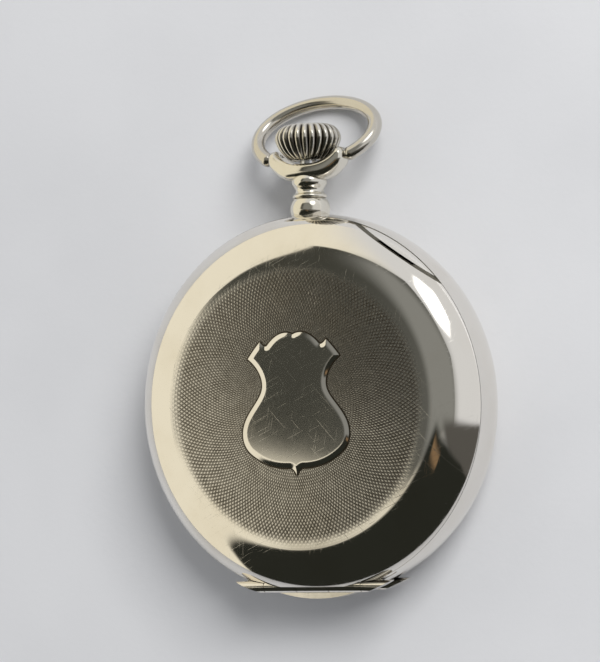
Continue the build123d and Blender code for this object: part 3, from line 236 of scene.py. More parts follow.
@dataclass(frozen=True)
class Silver(Finish):
    """Old polished silver: handling smudges, hairline scratches, and brown tarnish together with painted
    shade in creases.

    It is dark where the piece's per-vertex attribute of tarnish and painted shade says so and, if crease is
    above 0, with painted shade from ambient occlusion in creases of about that many millimetres. Each of
    scratches is a direction in degrees, a spacing and a length in millimetres, and the share of its lines
    that is kept.
    """

    colour: Colour = (0.84, 0.81, 0.76)
    # Dark brown that stands for tarnish and also for painted shade where a piece is darkened.
    tarnish: Colour = (0.075, 0.062, 0.045)
    roughness: float = 0.09
    smudges: float = 0.13
    scratch_depth: float = 0.0012
    crease: float = 0.0
    bloom: Colour = (0.55, 0.47, 0.33)
    scratches: tuple[tuple[float, float, float, float], ...] = (
        (24, 0.1, 6.0, 0.7), (-48, 0.12, 8.0, 0.6), (78, 0.09, 4.0, 0.6))

    def shade(self, graph: Graph) -> dict:
        """The shader's inputs."""
        cloud = graph.noise(9.0, 4.0)
        fine = graph.noise(1.3, 5.0)
        lines = sum(graph.hairlines(*scratch) for scratch in self.scratches)
        # Per-vertex darkening from the piece's own shape: tarnish together with painted shade in its
        # hollows.
        attribute = graph.node("ShaderNodeAttribute", {"attribute_name": "tarnish"})
        dark = Signal(graph, attribute.outputs["Fac"])
        # Painted shade: ambient occlusion darkens the colour further in creases.
        if self.crease:
            inputs = {"Distance": self.crease * MM}
            settings = {"samples": 6, "only_local": True}
            hollow = graph.node("ShaderNodeAmbientOcclusion", settings, inputs)
            dark = dark + Signal(graph, hollow.outputs["AO"]).step(0.72, 0.25)
        dark = dark * (0.75 + 0.5 * fine)
        bloom = (cloud - 0.42).step(0.0, 0.3) * (0.5 + fine) * 0.16
        stained = graph.mix(bloom, self.colour, self.bloom)
        colour = graph.mix(dark.step(0.0, 1.0), stained, self.tarnish)
        rough = self.roughness + self.smudges * (cloud * fine) + 0.05 * lines + 0.25 * dark
        normal = graph.bump(0.6 * lines + 0.4 * fine, self.scratch_depth)
        return {"Base Color": colour, "Metallic": 1.0, "Roughness": rough, "Normal": normal}


@dataclass(frozen=True)
class Metal(Finish):
    """A movement metal with a fine grain and a slow change of tone.

    Above 0, stripes is the pitch in millimetres of the bands polished across it.
    """

    colour: Colour
    tone: Colour
    roughness: float = 0.28
    grain: float = 0.05
    stretch: float = 1.0
    stripes: float = 0.0

    def shade(self, graph: Graph) -> dict:
        """The shader's inputs."""
        grain = graph.noise(self.grain, 2.0, graph.place((self.stretch, 1, 1)))
        cloud = graph.noise(3.0, 3.0)
        colour = graph.mix(cloud.step(0.3, 0.7), self.colour, self.tone)
        height = grain
        rough = self.roughness + 0.12 * (grain - 0.5) + 0.1 * (cloud - 0.5)
        if self.stripes:
            inputs = {"Vector": graph.place((1, 1, 1), 35), "Scale": 0.314 / (self.stripes * MM)}
            wave = graph.node("ShaderNodeTexWave", {"wave_profile": "SAW"}, inputs)
            bands = Signal(graph, wave.outputs[1])
            height = 0.3 * grain + bands
            rough = rough + 0.1 * (bands - 0.5)
        normal = graph.bump(height, 0.004 if self.stripes else 0.0015)
        return {"Base Color": colour, "Metallic": 1.0, "Roughness": rough, "Normal": normal}


@dataclass(frozen=True)
class Glossy(Finish):
    """Enamel, ruby or ink: a coloured body under a clear gloss."""

    colour: Colour
    tone: Colour
    blotch: float = 4.0
    roughness: float = 0.18
    coat: float = 0.5

    def shade(self, graph: Graph) -> dict:
        """The shader's inputs."""
        cloud = graph.noise(self.blotch, 4.0)
        speck = graph.noise(0.08, 2.0)
        colour = graph.mix(cloud.step(0.35, 0.7), self.colour, self.tone)
        rough = self.roughness + 0.08 * (cloud - 0.5) + 0.04 * (speck - 0.5)
        normal = graph.bump(speck, 0.0006)
        return {"Base Color": colour, "Roughness": rough, "Coat Weight": self.coat,
                "Coat Roughness": 0.04, "Normal": normal}


@dataclass(frozen=True)
class Crystal(Finish):
    """Clear watch glass with faint wiping marks."""

    name: str = "watch_glass"

    def shade(self, graph: Graph) -> dict:
        """The shader's inputs."""
        wipes = graph.hairlines(15, 0.4, 12.0, 0.5)
        return {"Base Color": (0.97, 0.99, 1.0), "Transmission Weight": 1.0, "IOR": 1.5,
                "Roughness": 0.01 + 0.05 * wipes}


@dataclass(frozen=True)
class Tabletop(Finish):
    """The pale painted board that the watch lies on."""

    name: str = "pale_board"
    colour: Colour = (0.70, 0.71, 0.735)
    tone: Colour = (0.65, 0.66, 0.685)

    def shade(self, graph: Graph) -> dict:
        """The shader's inputs."""
        cloud, tooth = graph.noise(40.0, 4.0), graph.noise(0.9, 4.0)
        colour = graph.mix(cloud.step(0.3, 0.75), self.colour, self.tone)
        return {"Base Color": colour, "Roughness": 0.62 + 0.1 * (tooth - 0.5),
                "Normal": graph.bump(tooth, 0.02)}


class Slot(Enum):
    """The record's material slots."""

    SILVER = "silver"
    SILVER_INNER = "silver_inner"
    GLASS = "glass"
    ENAMEL = "enamel"
    GILT_BRASS = "gilt_brass"
    NICKEL = "nickel"
    STEEL = "steel"
    BLUED_STEEL = "blued_steel"
    RUBY = "ruby"


FINISHES = {
    Slot.SILVER: Silver("case_silver"),
    Slot.SILVER_INNER: Silver("inner_silver", roughness=0.2, smudges=0.2),
    Slot.GLASS: Crystal(),
    Slot.ENAMEL: Glossy("dial_enamel", (0.86, 0.85, 0.80), (0.80, 0.79, 0.73)),
    Slot.GILT_BRASS: Metal("gilt_brass", (0.86, 0.63, 0.27), (0.78, 0.55, 0.23), 0.32),
    Slot.NICKEL: Metal("striped_nickel", (0.74, 0.71, 0.66), (0.68, 0.65, 0.60), 0.24, stripes=1.6),
    Slot.STEEL: Metal("polished_steel", (0.62, 0.62, 0.64), (0.55, 0.56, 0.58), 0.16, stretch=8.0),
    Slot.BLUED_STEEL: Metal("blued_steel", (0.02, 0.05, 0.26), (0.05, 0.03, 0.22), 0.2, stretch=6.0),
    Slot.RUBY: Glossy("ruby", (0.55, 0.02, 0.08), (0.42, 0.01, 0.09), 0.6, 0.08, 1.0),
}


# ---- bench: turning meshes into pieces

def make_piece(shape: Shape, name: str, body: str,
               material: Material, stands_for: tuple[str, ...] = ()) -> Piece:
    """Turns a finished shape into a piece of the watch.

    Args:
        shape: The shape in millimetres; it is freed here.
        name: Name of the piece.
        body: CAD body that it rides on.
        material: Its finish.
        stands_for: CAD nodes that it replaces.

    Returns:
        The new object, in metres.
    """
    bmesh.ops.scale(shape, vec=Vector((MM, MM, MM)), verts=shape.verts)
    mesh = bpy.data.meshes.new(name)
    shape.to_mesh(mesh)
    shape.free()
    piece = bpy.data.objects.new(name, mesh)
    bpy.context.scene.collection.objects.link(piece)
    mesh.materials.append(material)
    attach(piece, body)
    if stands_for:
        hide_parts(*stands_for)
    LOG.info("%s: %d faces, on %s", name, len(mesh.polygons), body)
    return piece


def rods_along_x(spans: tuple[Span, ...], place: Span, radius: float, segments: int) -> Shape:
    """Round rods along X.

    Args:
        spans: The x at which each rod starts and ends.
        place: Their y and z.
        radius: Their radius.
        segments: Sides of each rod.

    Returns:
        The rods as one shape.
    """
    shape = bmesh.new()
    for start, end in spans:
        middle = Matrix.Translation(((start + end) / 2, *place))
        bmesh.ops.create_cone(shape, cap_ends=True, segments=segments, radius1=radius, radius2=radius,
                              depth=end - start, matrix=middle @ Matrix.Rotation(math.pi / 2, 4, "Y"))
    return shape


def smooth_below(shape: Shape, angle: float) -> None:
    """Shades a shape smooth, but keeps edges sharper than angle degrees."""
    limit = math.radians(angle)
    for face in shape.faces:
        face.smooth = True
    for edge in shape.edges:
        edge.smooth = len(edge.link_faces) == 2 and edge.calc_face_angle(0.0) < limit


def spin_profile(points: list[Span], steps: int) -> Shape:
    """Turns an open outline of (radius, height) points about the Z axis.

    Args:
        points: The outline, which starts and ends on the axis or closes on itself.
        steps: Steps in the full turn.

    Returns:
        A closed shape whose normals point outwards.
    """
    shape = bmesh.new()
    verts = [shape.verts.new((radius, 0.0, height)) for radius, height in points]
    edges = [shape.edges.new(pair) for pair in zip(verts, verts[1:])]
    bmesh.ops.spin(shape, geom=verts + edges, cent=(0, 0, 0), axis=(0, 0, 1), dvec=(0, 0, 0),
                   angle=2 * math.pi, steps=steps, use_merge=True)
    bmesh.ops.remove_doubles(shape, verts=shape.verts, dist=1e-5)
    bmesh.ops.recalc_face_normals(shape, faces=shape.faces)
    return shape


def turn_onto_y(shape: Shape) -> None:
    """Turns a shape about X so that what pointed along +Z points along +Y."""
    turn = Matrix.Rotation(-math.pi / 2, 3, "X")
    bmesh.ops.rotate(shape, verts=shape.verts, cent=(0, 0, 0), matrix=turn)


def combine(shape: Shape, tool: Shape, operation: str) -> Shape:
    """Cuts a tool from a shape, or joins it on.

    Args:
        shape: The shape; it is freed here.
        tool: The tool; it is freed here.
        operation: "DIFFERENCE" or "UNION".

    Returns:
        The combined shape.
    """
    objects = []
    for name, source in (("shape", shape), ("tool", tool)):
        mesh = bpy.data.meshes.new(name)
        source.to_mesh(mesh)
        source.free()
        objects.append(bpy.data.objects.new(name, mesh))
        bpy.context.scene.collection.objects.link(objects[-1])
    cut = objects[0].modifiers.new("cut", "BOOLEAN")
    cut.operation, cut.object, cut.solver = operation, objects[1], "MANIFOLD"
    bpy.context.view_layer.update()
    result = bmesh.new()
    result.from_object(objects[0], bpy.context.evaluated_depsgraph_get())
    for item in objects:
        mesh = item.data
        bpy.data.objects.remove(item)
        bpy.data.meshes.remove(mesh)
    return result


def slice_off(shape: Shape, point: Vector, outward: Vector) -> None:
    """Cuts off what lies outside a plane and closes the cut."""
    geometry = [*shape.verts, *shape.edges, *shape.faces]
    cut = bmesh.ops.bisect_plane(shape, geom=geometry, dist=1e-5, plane_co=point, plane_no=outward,
                                 clear_outer=True)
    rim = [item for item in cut["geom_cut"] if isinstance(item, bmesh.types.BMEdge)]
    bmesh.ops.triangle_fill(shape, edges=rim, use_beauty=True, normal=outward)


# ---- the lid

@dataclass
class Cover:
    """Outer form of the front cover: a nearly flat dome running into a rolled edge."""

    top: float = 13.5
    seam_height: float = 9.65
    seam_radius: float = 25.14
    seam_gap: float = 0.06
    roll_radius: float = 7.34
    roll_slope: float = 31.4
    wall: float = 0.5
    lip_width: float = 1.1
    lip_height: float = 0.5

    def __post_init__(self) -> None:
        """Works out the arcs from the driving sizes."""
        slope = math.radians(self.roll_slope)
        self.roll_centre = self.seam_radius - self.roll_radius * math.cos(slope)
        self.roll_height = self.seam_height - self.roll_radius * math.sin(slope)
        depth = self.top - self.roll_height
        gap = depth - self.roll_radius
        self.dome = (depth ** 2 + self.roll_centre ** 2 - self.roll_radius ** 2) / (2 * gap)
        self.dome_centre = self.top - self.dome
        self.lean = math.atan2(self.roll_height - self.dome_centre, self.roll_centre)
        self.dome_edge = self.roll_centre + self.roll_radius * math.cos(self.lean)

    def height(self, radius: float) -> float:
        """Height of the outer surface at a distance from the axis."""
        if radius <= self.dome_edge:
            return self.dome_centre + math.sqrt(self.dome ** 2 - radius ** 2)
        out = min(radius - self.roll_centre, self.roll_radius)
        return self.roll_height + math.sqrt(self.roll_radius ** 2 - out ** 2)

    def roll_points(self, inset: float, low: float, steps: int) -> list[Span]:
        """Points down the rolled edge, from the dome to the height low.

        Args:
            inset: Distance inside the outer surface.
            low: Height of the last point.
            steps: Number of steps.

        Returns:
            The points as (radius, height).
        """
        roll = self.roll_radius - inset
        end = math.asin((low - self.roll_height) / roll)
        points = []
        for index in range(steps + 1):
            angle = self.lean + (end - self.lean) * index / steps
            points.append((self.roll_centre + roll * math.cos(angle),
                           self.roll_height + roll * math.sin(angle)))
        return points


@dataclass
class EngineTurning:
    """Barleycorn ground of staggered grains, fading out before the rolled edge.

    The relief shrinks towards the middle inside full_radius, as the grains do, and the valleys between the
    grains are darkened by a share of tarnish together with painted shade.
    """

    start: float = 4.05
    pitch: float = 0.40
    rings: int = 37
    steps: int = 400
    relief: float = 0.0055
    full_radius: float = 13.0
    valley_tarnish: float = 0.85
    fade_start: float = 17.3
    fade_end: float = 18.9

    def radii(self) -> list[float]:
        """The radius of every ring of points."""
        return [self.start + index * self.pitch for index in range(self.rings + 1)]

    def strength(self, radius: float) -> float:
        """Share of the full relief that is left at a radius."""
        share = min(max((self.fade_end - radius) / (self.fade_end - self.fade_start), 0.0), 1.0)
        return share * share * (3 - 2 * share)

    def cut(self, shape: Shape, low: float) -> None:
        """Presses the pattern into the top of a spun cover.

        Args:
            shape: The cover, whose rings stand at radii() with steps points each.
            low: Height above which a point is on the outer surface.
        """
        # The darkening attribute holds tarnish together with painted shade.
        dark = shape.verts.layers.float.new("tarnish")
        valleys = set()
        grains = []
        for vert in shape.verts:
            radius = math.hypot(vert.co.x, vert.co.y)
            ring = (radius - self.start) / self.pitch
            on_ring = abs(ring - round(ring)) <= 0.02 and 0 <= round(ring) <= self.rings
            if vert.co.z < low or not on_ring:
                continue
            turn = round(math.atan2(vert.co.y, vert.co.x) / (2 * math.pi) * self.steps)
            share = self.strength(radius)
            if (round(ring) + turn) % 2:
                valleys.add(vert)
                vert.co.z -= self.relief * share * min(radius / self.full_radius, 1.0)
                # Painted shade with tarnish in the valleys between the grains.
                vert[dark] = self.valley_tarnish * share
            else:
                grains.append(vert)
        for grain in grains:
            for face in list(grain.link_faces):
                low_pair = [vert for vert in face.verts if vert in valleys]
                if len(face.verts) == 4 and len(low_pair) == 2:
                    bmesh.utils.face_split(face, *low_pair)
        for vert in valleys:
            if self.strength(math.hypot(vert.co.x, vert.co.y)) > 0:
                for face in vert.link_faces:
                    face.smooth = False


@dataclass
class HingeLine:
    """The front hinge: its axis and the stretches of its knuckles."""

    y: float = -24.1
    z: float = 9.65
    radius: float = 0.8
    gap: float = 0.1
    half: float = 12.0
    segments: int = 40

    def rods(self, spans: tuple[Span, ...], radius: float) -> Shape:
        """Round rods along the hinge axis over some stretches of x."""
        return rods_along_x(spans, (self.y, self.z), radius, self.segments)

    def cover_spans(self) -> tuple[Span, ...]:
        """Stretches of the lid's own knuckles."""
        step, half_gap = self.half / 5, self.gap / 2
        return ((-3 * step + half_gap, -step - half_gap), (step + half_gap, 3 * step - half_gap))

    def case_spans(self) -> tuple[Span, ...]:
        """Stretches of the case's knuckles, with the gap at their ends."""
        step = self.half / 5
        return ((-5 * step - self.gap, -3 * step + self.gap), (-step - self.gap, step + self.gap),
                (3 * step - self.gap, 5 * step + self.gap))


@dataclass
class Lid:
    """The front cover, from its engine-turned dome to its knuckles."""

    cover: Cover = field(default_factory=Cover)
    turning: EngineTurning = field(default_factory=EngineTurning)
    hinge: HingeLine = field(default_factory=HingeLine)
    catch_angle: float = 54.7
    catch_distance: float = 23.85
    roll_steps: int = 44
    web_depth: float = 1.0
    web_height: float = 0.62

    def profile(self) -> list[Span]:
        """The lid's closed section, from the top on the axis round to the inner top."""
        cover = self.cover
        floor = cover.seam_height + cover.seam_gap
        centre = [(0.0, cover.top), (1.4, cover.height(1.4)), (2.8, cover.height(2.8))]
        ground = [(radius, cover.height(radius)) for radius in self.turning.radii()]
        outside = cover.roll_points(0.0, floor, self.roll_steps)
        lip_inner = cover.seam_radius - cover.lip_width
        lip_top = floor + cover.lip_height
        inside = cover.roll_points(cover.wall, lip_top, self.roll_steps // 2)[::-1]
        ceiling = [(radius, cover.height(radius) - cover.wall) for radius in (14.0, 8.0, 3.0)]
        lip = [(lip_inner, floor), (lip_inner, lip_top)]
        return centre + ground + outside + lip + inside + ceiling + [(0.0, cover.top - cover.wall)]

    def webs(self) -> Shape:
        """Blocks that join the lid's knuckles to its edge."""
        shape = bmesh.new()
        floor = self.cover.seam_height + self.cover.seam_gap
        for start, end in self.hinge.cover_spans():
            size = Vector((end - start, self.web_depth, self.web_height))
            middle = Vector(((start + end) / 2, self.hinge.y + size.y / 2, floor + size.z / 2))
            place = Matrix.Translation(middle) @ Matrix.Diagonal((*size, 1))
            bmesh.ops.create_cube(shape, size=1.0, matrix=place)
        return shape

    def build(self, material: Material) -> Piece:
        """Builds the lid.

        Args:
            material: Its finish.

        Returns:
            The lid, which stands for the CAD front cover together with the shield.
        """
        shape = spin_profile(self.profile(), self.turning.steps)
        catch = math.radians(self.catch_angle)
        across = Vector((math.cos(catch), math.sin(catch), 0))
        slice_off(shape, across * self.catch_distance, across)
        slice_off(shape, Vector((0, self.hinge.y, 0)), Vector((0, -1, 0)))
        bmesh.ops.recalc_face_normals(shape, faces=shape.faces)
        notches = self.hinge.rods(self.hinge.case_spans(), self.hinge.radius + self.hinge.gap)
        shape = combine(shape, notches, "DIFFERENCE")
        shape = combine(shape, self.webs(), "UNION")
        shape = combine(shape, self.hinge.rods(self.hinge.cover_spans(), self.hinge.radius), "UNION")
        smooth_below(shape, 32)
        self.turning.cut(shape, self.cover.top - self.cover.wall * 0.9)
        return make_piece(shape, "lid", "front_cover", material, ("front_cover",))


# ---- the shield

@dataclass
class Shield:
    """Raised cartouche with a scalloped top, a waist and a full lower body with a point.

    Its edge is a soft pillow that runs up to a flat field, and its foot and walls are darkened with tarnish
    and painted shade.
    """

    cover: Cover = field(default_factory=Cover)
    sink: float = 0.05
    foot: float = 0.05
    rise: float = 0.13
    pillow: float = 0.72
    skirt: float = 0.2
    spacing: float = 0.34
    step: float = 0.12
    half_width: float = 8.0
    half_height: float = 10.0
    offsets: tuple[float, ...] = (0.05, 0.12, 0.2, 0.3, 0.4, 0.5, 0.6, 0.7, 0.82)

    def half_outline(self) -> list[Vector]:
        """Points down the right side, from the notch at the top to the cusp at the bottom."""
        curves = [
            ((0.0, 9.3), (1.3, 9.95), (2.7, 9.35), (3.87, 7.94)),
            ((3.87, 7.94), (4.2, 7.75), (4.6, 8.05), (4.93, 8.5)),
            ((4.93, 8.5), (5.6, 7.8), (6.2, 7.1), (6.8, 6.3)),
            ((6.8, 6.3), (5.3, 5.2), (4.55, 3.6), (4.75, 2.4)),
            ((4.75, 2.4), (5.0, 0.6), (7.6, -0.9), (7.85, -3.4)),
            ((7.85, -3.4), (7.95, -4.6), (7.55, -5.6), (6.65, -6.34)),
            ((6.65, -6.34), (5.2, -7.5), (3.4, -8.3), (1.0, -8.25)),
            ((1.0, -8.25), (0.6, -8.3), (0.2, -8.7), (0.0, -9.25)),
        ]
        points = []
        for a, b, c, d in curves:
            a, b, c, d = Vector(a), Vector(b), Vector(c), Vector(d)
            count = max(3, round((d - a).length / self.step))
            for index in range(count):
                t = index / count
                rest = 1 - t
                points.append(rest ** 3 * a + 3 * t * rest ** 2 * b + 3 * t * t * rest * c + t ** 3 * d)
        return points + [Vector((0.0, -9.25))]

    def outline(self) -> list[Vector]:
        """The whole outline, clockwise from the notch."""
        right = self.half_outline()
        left = [Vector((-point.x, point.y)) for point in right[-2:0:-1]]
        return right + left

    def level(self, inside: float) -> float:
        """Height above the lid at a distance inside the outline."""
        share = min(inside / self.pillow, 1.0)
        return self.foot + self.rise * math.sin(math.pi / 2 * share)

    def build(self, material: Material) -> Piece:
        """Builds the shield on the lid."""
        loop = self.outline()
        count = len(loop)
        sides = [(loop[i], loop[(i + 1) % count]) for i in range(count)]

        def depth_of(point: Vector) -> float:
            """Distance from a point to the outline."""
            best = 1e9
            for start, end in sides:
                near, share = intersect_point_line(point, start, end)
                near = start if share < 0 else end if share > 1 else near
                best = min(best, (Vector(near).to_2d() - point).length)
            return best

        points = list(loop)
        for offset in self.offsets:
            for i, (start, end) in enumerate(sides):
                along = (end - loop[i - 1]).normalized()
                inward = Vector((along.y, -along.x)) * offset
                spot = start + inward
                if depth_of(spot) > 0.97 * offset:
                    points.append(spot)
        wide, high = round(self.half_width / self.spacing), round(self.half_height / self.spacing)
        for column in range(-wide, wide + 1):
            for row in range(-high, high + 1):
                spot = Vector((column * self.spacing, row * self.spacing))
                if self.contains(spot, loop) and depth_of(spot) > self.pillow + 0.12:
                    points.append(spot)
        outline = list(range(count))
        placed, _, faces, *_ = delaunay_2d_cdt(points, [], [outline], 1, 1e-4)
        shape = bmesh.new()
        dark = shape.verts.layers.float.new("tarnish")
        verts = []
        for spot in placed:
            inside = depth_of(spot)
            ground = self.cover.height(spot.length)
            vert = shape.verts.new((spot.x, spot.y, ground + self.level(inside)))
            # Painted shade with tarnish along the very foot of the pillow.
            vert[dark] = 0.5 if inside < 0.03 else 0.0
            verts.append(vert)
        for face in faces:
            shape.faces.new([verts[index] for index in face])
        bmesh.ops.recalc_face_normals(shape, faces=shape.faces)
        if sum(face.normal.z for face in shape.faces) < 0:
            bmesh.ops.reverse_faces(shape, faces=shape.faces)
        outward = {}
        for i, point in enumerate(loop):
            along = (loop[(i + 1) % count] - loop[i - 1]).normalized()
            outward[round(point.x, 3), round(point.y, 3)] = Vector((-along.y, along.x, 0))
        for out, level in ((0.0, 0.02), (self.skirt, 0.012), (0.0, -self.sink)):
            rim = [edge for edge in shape.edges if edge.is_boundary]
            walls = bmesh.ops.extrude_edge_only(shape, edges=rim)
            for foot in (item for item in walls["geom"] if isinstance(item, bmesh.types.BMVert)):
                if out:
                    foot.co += out * outward[round(foot.co.x, 3), round(foot.co.y, 3)]
                foot.co.z = self.cover.height(math.hypot(foot.co.x, foot.co.y)) + level
                # The walls and skirt are darkened fully: painted shade with tarnish.
                foot[dark] = 1.0
        edges = [edge for edge in shape.edges if edge.is_boundary]
        bmesh.ops.triangle_fill(shape, edges=edges, use_beauty=True, normal=(0, 0, -1))
        bmesh.ops.recalc_face_normals(shape, faces=shape.faces)
        smooth_below(shape, 48)
        return make_piece(shape, "shield", "front_cover", material, ("front_cover",))

    @staticmethod
    def contains(spot: Vector, loop: list[Vector]) -> bool:
        """Whether a point lies inside a closed outline."""
        crossings = 0
        for i, end in enumerate(loop):
            start = loop[i - 1]
            if (start.y > spot.y) != (end.y > spot.y):
                x = start.x + (spot.y - start.y) / (end.y - start.y) * (end.x - start.x)
                crossings += spot.x < x
        return crossings % 2 == 1


# ---- the crown

def arc_through(a: Span, b: Span, c: Span, steps: int) -> list[Span]:
    """Points along the circle through three points, without the last one.

    Args:
        a: Start.
        b: A point on the way.
        c: End.
        steps: Number of steps.

    Returns:
        The points from a up to, but not with, c.
    """
    start, middle, end = Vector(a), Vector(b), Vector(c)
    first, second = middle - start, end - start
    cross = 2 * (first.x * second.y - first.y * second.x)
    centre = start + Vector((second.y * first.length_squared - first.y * second.length_squared,
                             first.x * second.length_squared - second.x * first.length_squared)) / cross
    turn = (end - centre).angle_signed(start - centre)
    radius = (start - centre).length
    low = math.atan2(start.y - centre.y, start.x - centre.x)
    return [(centre.x + radius * math.cos(low + turn * i / steps),
             centre.y + radius * math.sin(low + turn * i / steps)) for i in range(steps)]


@dataclass
class Crown:
    """Onion-shaped winding crown with rounded ribs between deep grooves that are darkened with painted
    shade and tarnish.
    """

    radius: float = 4.46
    bottom: float = 32.75
    height: float = 4.8
    axis_height: float = 7.0
    ribs: int = 26
    steps_per_rib: int = 16
    depth: float = 0.09
    fade: float = 0.35

    def profile(self) -> list[Span]:
        """The crown's closed outline as (radius, distance along its axis)."""
        wide, low, tall = self.radius, self.bottom, self.height
        widest = (wide, low + 0.6 * tall)
        under = arc_through((0.5 * wide, low), (0.84 * wide, low + 0.27 * tall), widest, 14)
        over = arc_through(widest, (0.9 * wide, low + 0.86 * tall), (0.62 * wide, low + tall), 12)
        top = [(0.62 * wide, low + tall), (0.45 * wide, low + tall), (0.0, low + tall)]
        return [(0.0, low), (0.3 * wide, low), *under, *over, *top]

    def build(self, material: Material) -> Piece:
        """Builds the crown."""
        shape = spin_profile(self.profile(), self.ribs * self.steps_per_rib)
        dark = shape.verts.layers.float.new("tarnish")
        for vert in shape.verts:
            out = math.hypot(vert.co.x, vert.co.y)
            if out < 0.49 * self.radius:
                continue
            ends = min(vert.co.z - self.bottom, self.bottom + self.height - vert.co.z)
            share = min(ends / self.fade, 1.0)
            ridge = abs(math.cos(self.ribs / 2 * math.atan2(vert.co.y, vert.co.x)))
            shrink = 1 - self.depth * share * (1 - ridge ** 0.8)
            vert.co.x *= shrink
            vert.co.y *= shrink
            # Painted shade with tarnish, darkest at the bottom of each groove.
            vert[dark] = share * (1 - ridge) ** 0.7
        turn_onto_y(shape)
        bmesh.ops.translate(shape, verts=shape.verts, vec=(0, 0, self.axis_height))
        smooth_below(shape, 50)
        return make_piece(shape, "winding_crown", "crown", material, ("crown",))


# ---- the pendant

@dataclass
class Pendant:
    """Turned neck under a boat-shaped head with soft edges, whose horns carry the bow.

    The keel is flat out to keel_flat and then rises to the horns, and the saddle rises up to
    horn_start. The head thins from thick to thin at its horns, rounds off beyond round_from,
    and is cut clear of the crown by crown_gap all round and by crown_travel along the axis.
    """

    pivot: float = 33.3
    axis_height: float = 7.0
    head_low: float = 30.0
    horn: float = 5.64
    thick: float = 2.3
    thin: float = 1.5
    keel_flat: float = 2.0
    keel_rise: float = 2.3
    saddle_drop: float = 0.65
    saddle_rise: float = 1.65
    horn_start: float = 4.64
    round_from: float = 4.9
    sections: int = 72
    around: int = 56
    bore: float = 1.25
    pin: float = 0.55
    pin_start: float = 3.94
    crown_gap: float = 0.25
    crown_travel: float = 0.55
    crown: Crown = field(default_factory=Crown)

    def neck_profile(self) -> list[Span]:
        """The outline of the neck as (radius, distance along its axis)."""
        bead = arc_through((2.5, 25.3), (2.68, 26.4), (2.2, 27.6), 16)
        fillet = arc_through((2.16, 27.68), (2.34, 27.95), (2.12, 28.2), 8)
        waist = arc_through((2.1, 28.25), (1.9, 28.7), (2.08, 29.1), 8)
        collar = arc_through((2.1, 29.15), (2.4, 29.85), (2.2, 30.5), 12)
        foot, top = [(0.0, 24.8), (2.3, 24.8)], [(2.0, 30.9), (0.0, 30.9)]
        return [*foot, *bead, (2.12, 27.66), *fillet, *waist, *collar, *top]

    def section(self, across: float) -> list[Vector]:
        """One rounded section of the head at a distance from its middle."""
        out = abs(across)
        past_flat = max(out - self.keel_flat, 0.0) / (self.horn - self.keel_flat)
        low = self.head_low + self.keel_rise * past_flat ** 2.07
        high = self.pivot - self.saddle_drop + self.saddle_rise * min(out / self.horn_start, 1.0) ** 2.675
        high -= 0.35 * max(out - self.horn_start, 0.0) ** 2
        half = self.thick - (self.thick - self.thin) * (out / self.horn) ** 1.5
        end = max(out - self.round_from, 0.0) / (self.horn - self.round_from)
        shrink = math.sqrt(max(1 - 0.72 * end ** 2.5, 0.0))
        middle, rise = (low + high) / 2, (high - low) / 2 * shrink
        points = []
        for index in range(self.around):
            turn = 2 * math.pi * index / self.around
            along = math.copysign(abs(math.cos(turn)) ** 0.72, math.cos(turn))
            up = math.copysign(abs(math.sin(turn)) ** 0.8, math.sin(turn))
            points.append(Vector((across, middle + rise * along, half * shrink * up)))
        return points

    def head(self) -> Shape:
        """The head, skinned over its sections."""
        shape = bmesh.new()
        loops = []
        for index in range(self.sections + 1):
            across = -self.horn * math.cos(math.pi * index / self.sections)
            verts = [shape.verts.new(point) for point in self.section(across)]
            loops.append([shape.edges.new(pair) for pair in zip(verts, verts[1:] + verts[:1])])
        for first, second in zip(loops, loops[1:]):
            bmesh.ops.bridge_loops(shape, edges=first + second)
        for loop in (loops[0], loops[-1]):
            bmesh.ops.edgeloop_fill(shape, edges=loop)
        bmesh.ops.recalc_face_normals(shape, faces=shape.faces)
        return shape

    def about_axis(self, points: list[Span], steps: int) -> Shape:
        """Turns an outline about the pendant's axis, which runs along +Y."""
        shape = spin_profile(points, steps)
        turn_onto_y(shape)
        return shape

    def pin_holes(self) -> Shape:
        """The two holes that the bow's pins turn in."""
        start, end = self.pin_start, self.horn + 1
        return rods_along_x(((-end, -start), (start, end)), (self.pivot, 0), self.pin, 32)

    def build(self, material: Material) -> Piece:
        """Builds the pendant."""
        shape = combine(self.about_axis(self.neck_profile(), 96), self.head(), "UNION")
        room = [(radius + self.crown_gap, along - self.crown_travel)
                for radius, along in self.crown.profile()[1:-1]]
        seat = self.about_axis([(0.0, room[0][1]), *room, (0.0, room[-1][1])], 96)
        bore = self.about_axis([(0.0, 24.0), (self.bore, 24.0), (self.bore, 35.0), (0.0, 35.0)], 64)
        for tool in (seat, bore, self.pin_holes()):
            shape = combine(shape, tool, "DIFFERENCE")
        bmesh.ops.translate(shape, verts=shape.verts, vec=(0, 0, self.axis_height))
        smooth_below(shape, 38)
        return make_piece(shape, "pendant_neck_and_head", "case", material, ("pendant",))


# ---- the dial's print

